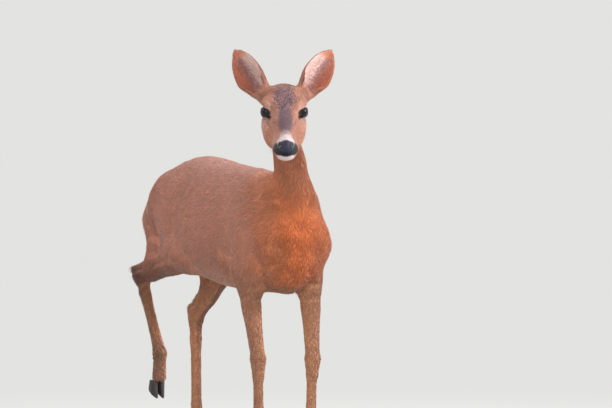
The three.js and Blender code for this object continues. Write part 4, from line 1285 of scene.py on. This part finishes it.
def tuft_mesh(name, roots, normals, ways, sizes, colours, places):
    """Tufts as closed meshes: two rings of three corners and a tip, with their bake patches."""
    length, width, height = (sizes[:, i, None] / 1000 for i in range(3))
    across = np.cross(normals, ways)
    corners = []
    for middle, half in (
        (roots - normals * ROOT_SINK / 1000, TUFT_HALVES[0]),
        (roots + ways * length * MIDDLE_AT + normals * height * MIDDLE_RISE, TUFT_HALVES[1]),
    ):
        flat = across * width * half
        corners += [middle + flat, middle - flat, middle + normals * width * half * TUFT_RIDGE]
    corners.append(roots + ways * length + normals * height)
    points = np.stack(corners, axis=1)
    one = [(0, 2, 1)]
    for a, b in ((0, 1), (1, 2), (2, 0)):
        one += [(a, b, b + 3), (a, b + 3, a + 3), (a + 3, b + 3, 6)]
    faces = (np.arange(len(roots))[:, None, None] * 7 + np.array(one)).reshape(-1, 3)
    mesh = mesh_from(name, points.reshape(-1, 3), faces)
    # painted shade at each tuft's root and painted light at its tip
    tones = np.repeat(TUFT_TONES, (3, 3, 1))
    coloured(mesh, (colours[:, None, :] * tones[:, None]).reshape(-1, 3))
    patches = np.array(((0, 0), (1, 0), (0.5, 0), (0, 0.5), (1, 0.5), (0.5, 0.5), (0.5, 1))) - 0.5
    spots = np.clip(places, BAKE_PATCH, 1 - BAKE_PATCH)[:, None, :] + patches * BAKE_PATCH
    layer = mesh.uv_layers.new(name="OFBake")
    layer.data.foreach_set("uv", spots.reshape(-1, 2)[faces.ravel()].astype(np.float32).ravel())
    return mesh


def around(places, column, line):
    """Where each place lies round and along a bent axis, from 0 to 1: the unwrap of a part of the skin."""
    line = np.array(sorted(line, key=lambda corner: corner[column]), float)
    others = [i for i in range(3) if i != column]
    off = [places[:, i] - np.interp(places[:, column], line[:, column], line[:, i]) for i in others]
    angle = np.arctan2(off[1], off[0]) / (2 * np.pi) + 0.5
    along = places[:, column]
    return np.column_stack((angle, (along - along.min()) / max(np.ptp(along), 1e-6)))


def scattered(points, triangles, normals):
    """Random roots on the skin, as many as the hair's sizes ask for, with their normals."""
    corners = points[triangles]
    across = np.cross(corners[:, 1] - corners[:, 0], corners[:, 2] - corners[:, 0])
    area = np.linalg.norm(across, axis=1) / 2
    number = hair_sizes(points, normals)[:, 3][triangles].mean(axis=1) * 1e4
    count = np.floor(area * number + random.random(len(area))).astype(int)
    chosen = np.repeat(np.arange(len(triangles)), count)
    share = np.sort(random.random((len(chosen), 2)), axis=1)
    share = np.column_stack((share[:, 0], share[:, 1] - share[:, 0], 1 - share[:, 1]))[:, :, None]
    roots, ways = (np.sum(values[triangles[chosen]] * share, axis=1) for values in (points, normals))
    return roots, ways / np.linalg.norm(ways, axis=1, keepdims=True)


NECK_LINE = ((20, 0, 420), (40, 0, 560), (60, 0, 800))
TRUNK_LINE = ((-580, 0, 560), (80, 0, 500))
HEAD_LINE = ((-20, -40, 0), (215, -40, 0))
EAR_LINE = ((0, 0, EAR_HOLLOW), (0, 120, EAR_HOLLOW))
OFF_LEG_LINE = ("point", "heel", "scapula", "shoulder")
LEGS = {  # joints, the height where the coat's piece ends, and its furthest and nearest millimetres forward
    "fore": (FORE_JOINTS, 425, (-130, 130)),
    "hind": (HIND_JOINTS, 470, (-1000, -330)),
}
LEG_SPAN = 190  # millimetres before and behind the foot
TRUNK_CUTS = (-1000, -480, -380, -280, -180, -80, 1000)
HEAD_CUT = dict(slope=0.5, start=-14)  # from the head to the neck
NECK_CUT = dict(slope=0.35, level=600, start=-10, above=520)  # and from the neck to the trunk


def coat_regions(roots, normals):
    """The coat's pieces: which roots each holds, and where they lie on its unwrap."""
    body, head, ears = body_measures(roots), head_measures(roots), ear_measures(roots)
    forward, left, up = body.T
    on_ear = ear_share(roots) > 0.5
    facing = ear_facing(roots, normals) > 0
    past_poll = head[:, 0] + HEAD_CUT["slope"] * head[:, 1]
    on_head = ~on_ear & (past_poll > HEAD_CUT["start"]) & (head[:, 1] > THROAT)
    rest = ~on_ear & ~on_head
    for side in SIDES:
        mine = on_ear & (on_left(roots)[:, 0] == (side == "left"))
        yield f"coat_ear_{side}_inside", mine & facing, around(ears, 1, EAR_LINE)
        yield f"coat_ear_{side}_back", mine & ~facing, around(ears, 1, EAR_LINE)
    yield "coat_head", on_head, around(head, 0, HEAD_LINE)
    taken = np.zeros(len(roots), bool)
    for pair, (legs, top, (back, front)) in LEGS.items():
        for side, joints in legs.items():
            mine = rest & (up < top) & (abs(forward - joints["coronet"][0]) < LEG_SPAN)
            mine &= ((left > 0) == (side == "left")) & (forward > back) & (forward < front)
            taken |= mine
            line = [joints[name] for name in joints if name not in OFF_LEG_LINE]
            yield f"coat_{pair}leg_{side}", mine, around(body, 2, line)
    rest &= ~taken
    past_withers = forward + NECK_CUT["slope"] * (up - NECK_CUT["level"])
    on_neck = rest & (past_withers > NECK_CUT["start"]) & (up > NECK_CUT["above"])
    yield "coat_neck", on_neck, around(body, 2, NECK_LINE)
    rest &= ~on_neck
    for number, (start, end) in enumerate(zip(TRUNK_CUTS, TRUNK_CUTS[1:]), 1):
        yield f"coat_trunk_{number}", rest & (forward >= start) & (forward < end), around(body, 0, TRUNK_LINE)


hair = hair_material()
roots, root_normals = scattered(points, triangles, normals)
ways = hair_ways(roots, root_normals) + random.normal(0, WAY_SCATTER, roots.shape)
ways = along_skin(ways, root_normals)
sizes = hair_sizes(roots, root_normals)[:, :3] * np.exp(random.normal(0, SIZE_SCATTER, roots.shape))
tone = np.exp(random.normal(0, TONE_SCATTER, (len(roots), 1)))
tint = random.normal(0, TINT_SCATTER, roots.shape)
on_crown = patch(folded_head(roots), CROWN, 0.7, 1.1)
on_crown += FACE_SPECKLE * (within(folded_head(roots), *FACE) < 1) * (1 - on_crown)
speckle = np.exp(SPECKLE * on_crown * random.choice((-1.0, 1.0), len(roots)))
colours = coat_colours_and_painted_light(roots, root_normals) * tone * speckle[:, None] + tint
for name, mine, places in coat_regions(roots, root_normals):
    held = (values[mine] for values in (roots, root_normals, ways, sizes, colours, places))
    dress(name, tuft_mesh(name, *held), hair)

# ---------------------------------------------------------------- lashes and whiskers

LASHES = 34
LASH = (3.6, 0.5, 1.0)  # length, width and bend in millimetres
LASH_TURNS = (math.radians(25), math.radians(145))  # round the opening, from the inner corner
LASH_LIFT = (0.4, 1.2)  # millimetres that their roots lie out of and above the lid's edge
LASH_WAY = (0.35, 0.3, 0.85)  # to the corners, up or down, and out of the eye
LASH_CURL = (0.0, 0.8, -0.6)
WHISKERS = (  # along, dorsal, side, how many, length
    ((182, -38, 24), 12, 32),
    ((190, -62, 8), 4, 15),
    ((72, -8, 34), 5, 30),
)
WHISKER_SCATTER = 5.0
WHISKER_WIDTH = 0.35
WHISKER_BEND = 1.5
WHISKER_SIZES = (0.6, 1.1)  # the shortest and the longest, as shares of the length
WHISKER_WAY = (0.55, 0.6, 0.25)  # out of the skin, forward and down
SNOUT_FROM = 100  # whiskers further down the face than this sweep forward


def lashes(side):
    """The root, way of bending, way along and size of each lash of one eye."""
    axes = eye_axes(side)
    reach = EYE_RADIUS * 1000 + LID_THICKNESS + LASH_LIFT[0]
    for turn in np.linspace(*LASH_TURNS, LASHES):
        inner, up = math.cos(turn), math.sin(turn)
        flat = np.array((inner * OPENING["length"], up * (OPENING["height"] + LASH_LIFT[1])))
        out = math.sqrt(max(reach**2 - flat @ flat, 1.0))
        root = EYES[side] + np.array((*flat, out)) @ axes / 1000
        way = unit(np.array(LASH_WAY) * (inner, up, 1) @ axes)
        yield root, unit(np.array(LASH_CURL) @ axes), way, LASH


def whiskers(sign):
    """The root, way of bending, way along and size of each whisker on one side."""
    out, ahead, down = WHISKER_WAY
    for place, count, length in WHISKERS:
        spots = np.array(place) * (1, 1, sign) + random.normal(0, WHISKER_SCATTER, (count, 3))
        for near in head_spots(spots):
            corner = np.argmin(np.sum((points - near) ** 2, axis=1))
            forward = HEAD_ALONG * (place[0] > SNOUT_FROM)
            way = unit(out * normals[corner] + ahead * forward - down * UP)
            size = (length * random.uniform(*WHISKER_SIZES), WHISKER_WIDTH, WHISKER_BEND)
            yield points[corner], unit(way[2] * way - UP), way, size


hairs = [row for side, sign in SIDES.items() for row in (*lashes(side), *whiskers(sign))]
roots, bends, ways, sizes = (np.array(column) for column in zip(*hairs))
colours = np.tile(COLOURS["lid"], (len(hairs), 1))
places = around(head_measures(roots), 0, HEAD_LINE)
name = "lashes_and_whiskers"
dress(name, tuft_mesh(name, roots, bends, ways, sizes, colours, places), hair)

# ---------------------------------------------------------------- eyes

EYE_RINGS = 54  # between the poles
EYE_TURNS = 96
CORNEA = (math.radians(12), math.radians(46))  # its bulge is full up to the first angle, gone at the second
CORNEA_RISE = 0.07  # as a share of the radius
IRIS_EDGE = (math.radians(43.24), math.radians(48.76))
PUPIL = (0.42, 0.24)  # half its length and height, as shares of the radius
PUPIL_EDGE = (0.85, 1.1)


def ball_faces():
    """The triangles of a ball: corners in rings, with the first and the last corner as its poles."""
    rings = np.arange(EYE_RINGS * EYE_TURNS).reshape(EYE_RINGS, EYE_TURNS) + 1
    following = np.roll(rings, -1, axis=1)
    sets = (
        (rings[:-1], rings[1:], following[1:]),
        (rings[:-1], following[1:], following[:-1]),
        (0, rings[0], following[0]),
        (rings.size + 1, following[-1], rings[-1]),
    )
    return np.concatenate([np.stack(np.broadcast_arrays(*face), axis=-1).reshape(-1, 3) for face in sets])


def eyeball(side):
    """An eyeball with its bulging cornea, dark iris and long level pupil, tinted blue as a painted sheen."""
    axes = eye_axes(side)
    rings = np.linspace(0, math.pi, EYE_RINGS + 2)[1:-1]
    polar = np.concatenate(([0], np.repeat(rings, EYE_TURNS), [math.pi]))
    turn = 2 * math.pi / EYE_TURNS * (np.arange(len(polar)) - 1)
    ways = np.column_stack((np.sin(polar) * np.cos(turn), np.sin(polar) * np.sin(turn), np.cos(polar)))
    rise = CORNEA_RISE * (1 - ramp(polar, *CORNEA))
    places = EYES[side] + (ways * (1 + rise[:, None])) @ axes * EYE_RADIUS
    level = unit(axes @ unit(HEAD_ALONG * (1, 1, 0)) * (1, 1, 0))
    lengthwise, upright = ways @ level, ways @ np.array((-level[1], level[0], 0))
    pupil = 1 - ramp(np.hypot(lengthwise / PUPIL[0], upright / PUPIL[1]), *PUPIL_EDGE)
    colours = np.tile(COLOURS["eyeball"], (len(places), 1))
    colours = painted(colours, 1 - ramp(polar, *IRIS_EDGE), "iris")
    # the pupil's colour holds a painted blue sheen
    colours = painted(colours, pupil * (ways[:, 2] > 0), "pupil")
    mesh = mesh_from(f"eyeball_{side}", places, ball_faces())
    coloured(mesh, colours)
    return mesh


gloss = eye_material()
for side in SIDES:
    dress(f"eyeball_{side}", eyeball(side), gloss, [f"eye_{side}"])

# ---------------------------------------------------------------- hooves

HORN_VOXEL = 0.0012
HORN_SOFTNESS = 0.0011
GROWTH_LINES = 0.0034  # from one ring of growth to the next
GROWTH_DEPTH = 0.00016
GROWTH_TONE = 0.02
SOLE_FACING = -0.5  # horn that faces further down than this has no rings
WORN_HEIGHT = 0.008
WORN_TONE = 0.55
HORN_GRAIN = 0.18


def horn_mesh(name):
    """A hoof or dewclaw: its solid with rounded edges and the low rings of its growth."""
    low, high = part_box(name)
    grid = Grid(low, high, HORN_VOXEL)
    values = grid.filled(BAND * HORN_VOXEL)
    held, window = grid.distances(*arrays_of(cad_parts[name].data))
    values[window] = held
    mesh = mesh_from(name, *grid.surface(round_off(values, HORN_SOFTNESS / HORN_VOXEL)))
    places, faces = arrays_of(mesh)
    ways = normals_of(places, faces)
    up = places[:, 2] - low[2]
    rings = np.sin(2 * math.pi * up / GROWTH_LINES) * (ways[:, 2] > SOLE_FACING)
    places = places + ways * rings[:, None] * GROWTH_DEPTH
    places[:, 2] = np.maximum(places[:, 2], low[2])
    mesh.vertices.foreach_set("co", places.astype(np.float32).ravel())
    worn = 1 - ramp(up, 0.0, WORN_HEIGHT)
    coloured(mesh, COLOURS["horn"] * (1 + WORN_TONE * worn[:, None]) + GROWTH_TONE * rings[:, None])
    values_on(mesh, "grain", places * (1, 1, HORN_GRAIN))
    mesh.update()
    return mesh


horn = horn_material()
for name in sorted(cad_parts):
    if name.startswith(("hoof", "dewclaw")):
        dress(f"{name}_horn", horn_mesh(name), horn, [name])


# ---------------------------------------------------------------- floor and light

FLOOR_REACH = 60
FLOOR_COLOUR = (0.56, 0.555, 0.54)
FLOOR_FADE = (1.1, 3.2)  # how far from the deer the floor turns into the background
BACKGROUND = (0.89, 0.89, 0.88)
WORLD_STRENGTH = 0.62
LAMP_AIM = 500
LAMPS = {  # millimetres forward, to the left and up, width in metres and power in watts
    "key": ((4200, 6600, 4600), 3.6, 980),
    "fill": ((7000, -6200, 4200), 5.0, 330),
    "back": ((-6500, -2500, 7500), 4.0, 420),
}


def seen_rays(made):
    """1 for the rays that show the background: the camera's, and those that gloss or glass sends on."""
    path = node(made, "ShaderNodeLightPath")
    total = path.outputs["Is Camera Ray"]
    for name in ("Is Glossy Ray", "Is Transmission Ray"):
        added = node(made, "ShaderNodeMath")
        added.use_clamp = True
        wire(made, total, added.inputs[0])
        wire(made, path.outputs[name], added.inputs[1])
        total = added.outputs[0]
    return total


def mixed(made, share, first, second, output):
    """Two shaders mixed by a share, onto the output of a material or world."""
    mix = node(made, "ShaderNodeMixShader")
    for start, end in zip((share, first, second), mix.inputs):
        wire(made, start, end)
    wire(made, mix.outputs[0], made.node_tree.nodes[output].inputs["Surface"])


def floor_material():
    """A pale matt floor that keeps the shadow and fades into the background seen behind it."""
    made, surface = material(
        "pale_floor", Base_Color=(*FLOOR_COLOUR, 1), Roughness=0.9, Specular_IOR_Level=0.2
    )
    bumped(made, surface, noise(made, 60), 0.0004, 0.2)
    glow = node(made, "ShaderNodeEmission", Strength=1.0, Color=(*seen(BACKGROUND), 1))
    distance = node(made, "ShaderNodeVectorMath")
    distance.operation = "LENGTH"
    wire(made, here(made), distance.inputs[0])
    fade = node(made, "ShaderNodeMapRange", From_Min=FLOOR_FADE[0], From_Max=FLOOR_FADE[1])
    fade.interpolation_type = "SMOOTHSTEP"
    wire(made, distance.outputs["Value"], fade.inputs["Value"])
    share = node(made, "ShaderNodeMath")
    share.operation = "MULTIPLY"
    wire(made, fade.outputs["Result"], share.inputs[0])
    wire(made, seen_rays(made), share.inputs[1])
    mixed(made, share.outputs[0], surface.outputs[0], glow.outputs[0], "Material Output")
    return made


def soft_lamp(name, place, size, power):
    lamp = bpy.data.lights.new(name, "AREA")
    lamp.shape = "DISK"
    lamp.size = size
    lamp.energy = power
    look_from(link(name, lamp), spot(*place), spot(0, 0, LAMP_AIM))


def pale_world():
    """White light from all round, with the background's colour where the camera sees it."""
    world = bpy.data.worlds.new("world")
    bpy.context.scene.world = world
    world.use_nodes = True
    light = world.node_tree.nodes["Background"]
    fill(light, {"Color": (1, 1, 1, 1), "Strength": WORLD_STRENGTH})
    view = node(world, "ShaderNodeBackground", Color=(*seen(BACKGROUND), 1))
    mixed(world, seen_rays(world), light.outputs[0], view.outputs[0], "World Output")


corners = [(x * FLOOR_REACH, y * FLOOR_REACH, 0) for x, y in ((-1, -1), (1, -1), (1, 1), (-1, 1))]
floor_mesh = bpy.data.meshes.new("floor")
floor_mesh.from_pydata(corners, [], [(0, 1, 2, 3)])
floor_mesh.materials.append(floor_material())
floor = link("floor", floor_mesh)
floor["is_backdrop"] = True
for name, lamp in LAMPS.items():
    soft_lamp(name, *lamp)
pale_world()

boxes = {"cad": cad_box, "visual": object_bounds()}
{name: [list(corner) for corner in box] for name, box in boxes.items()}
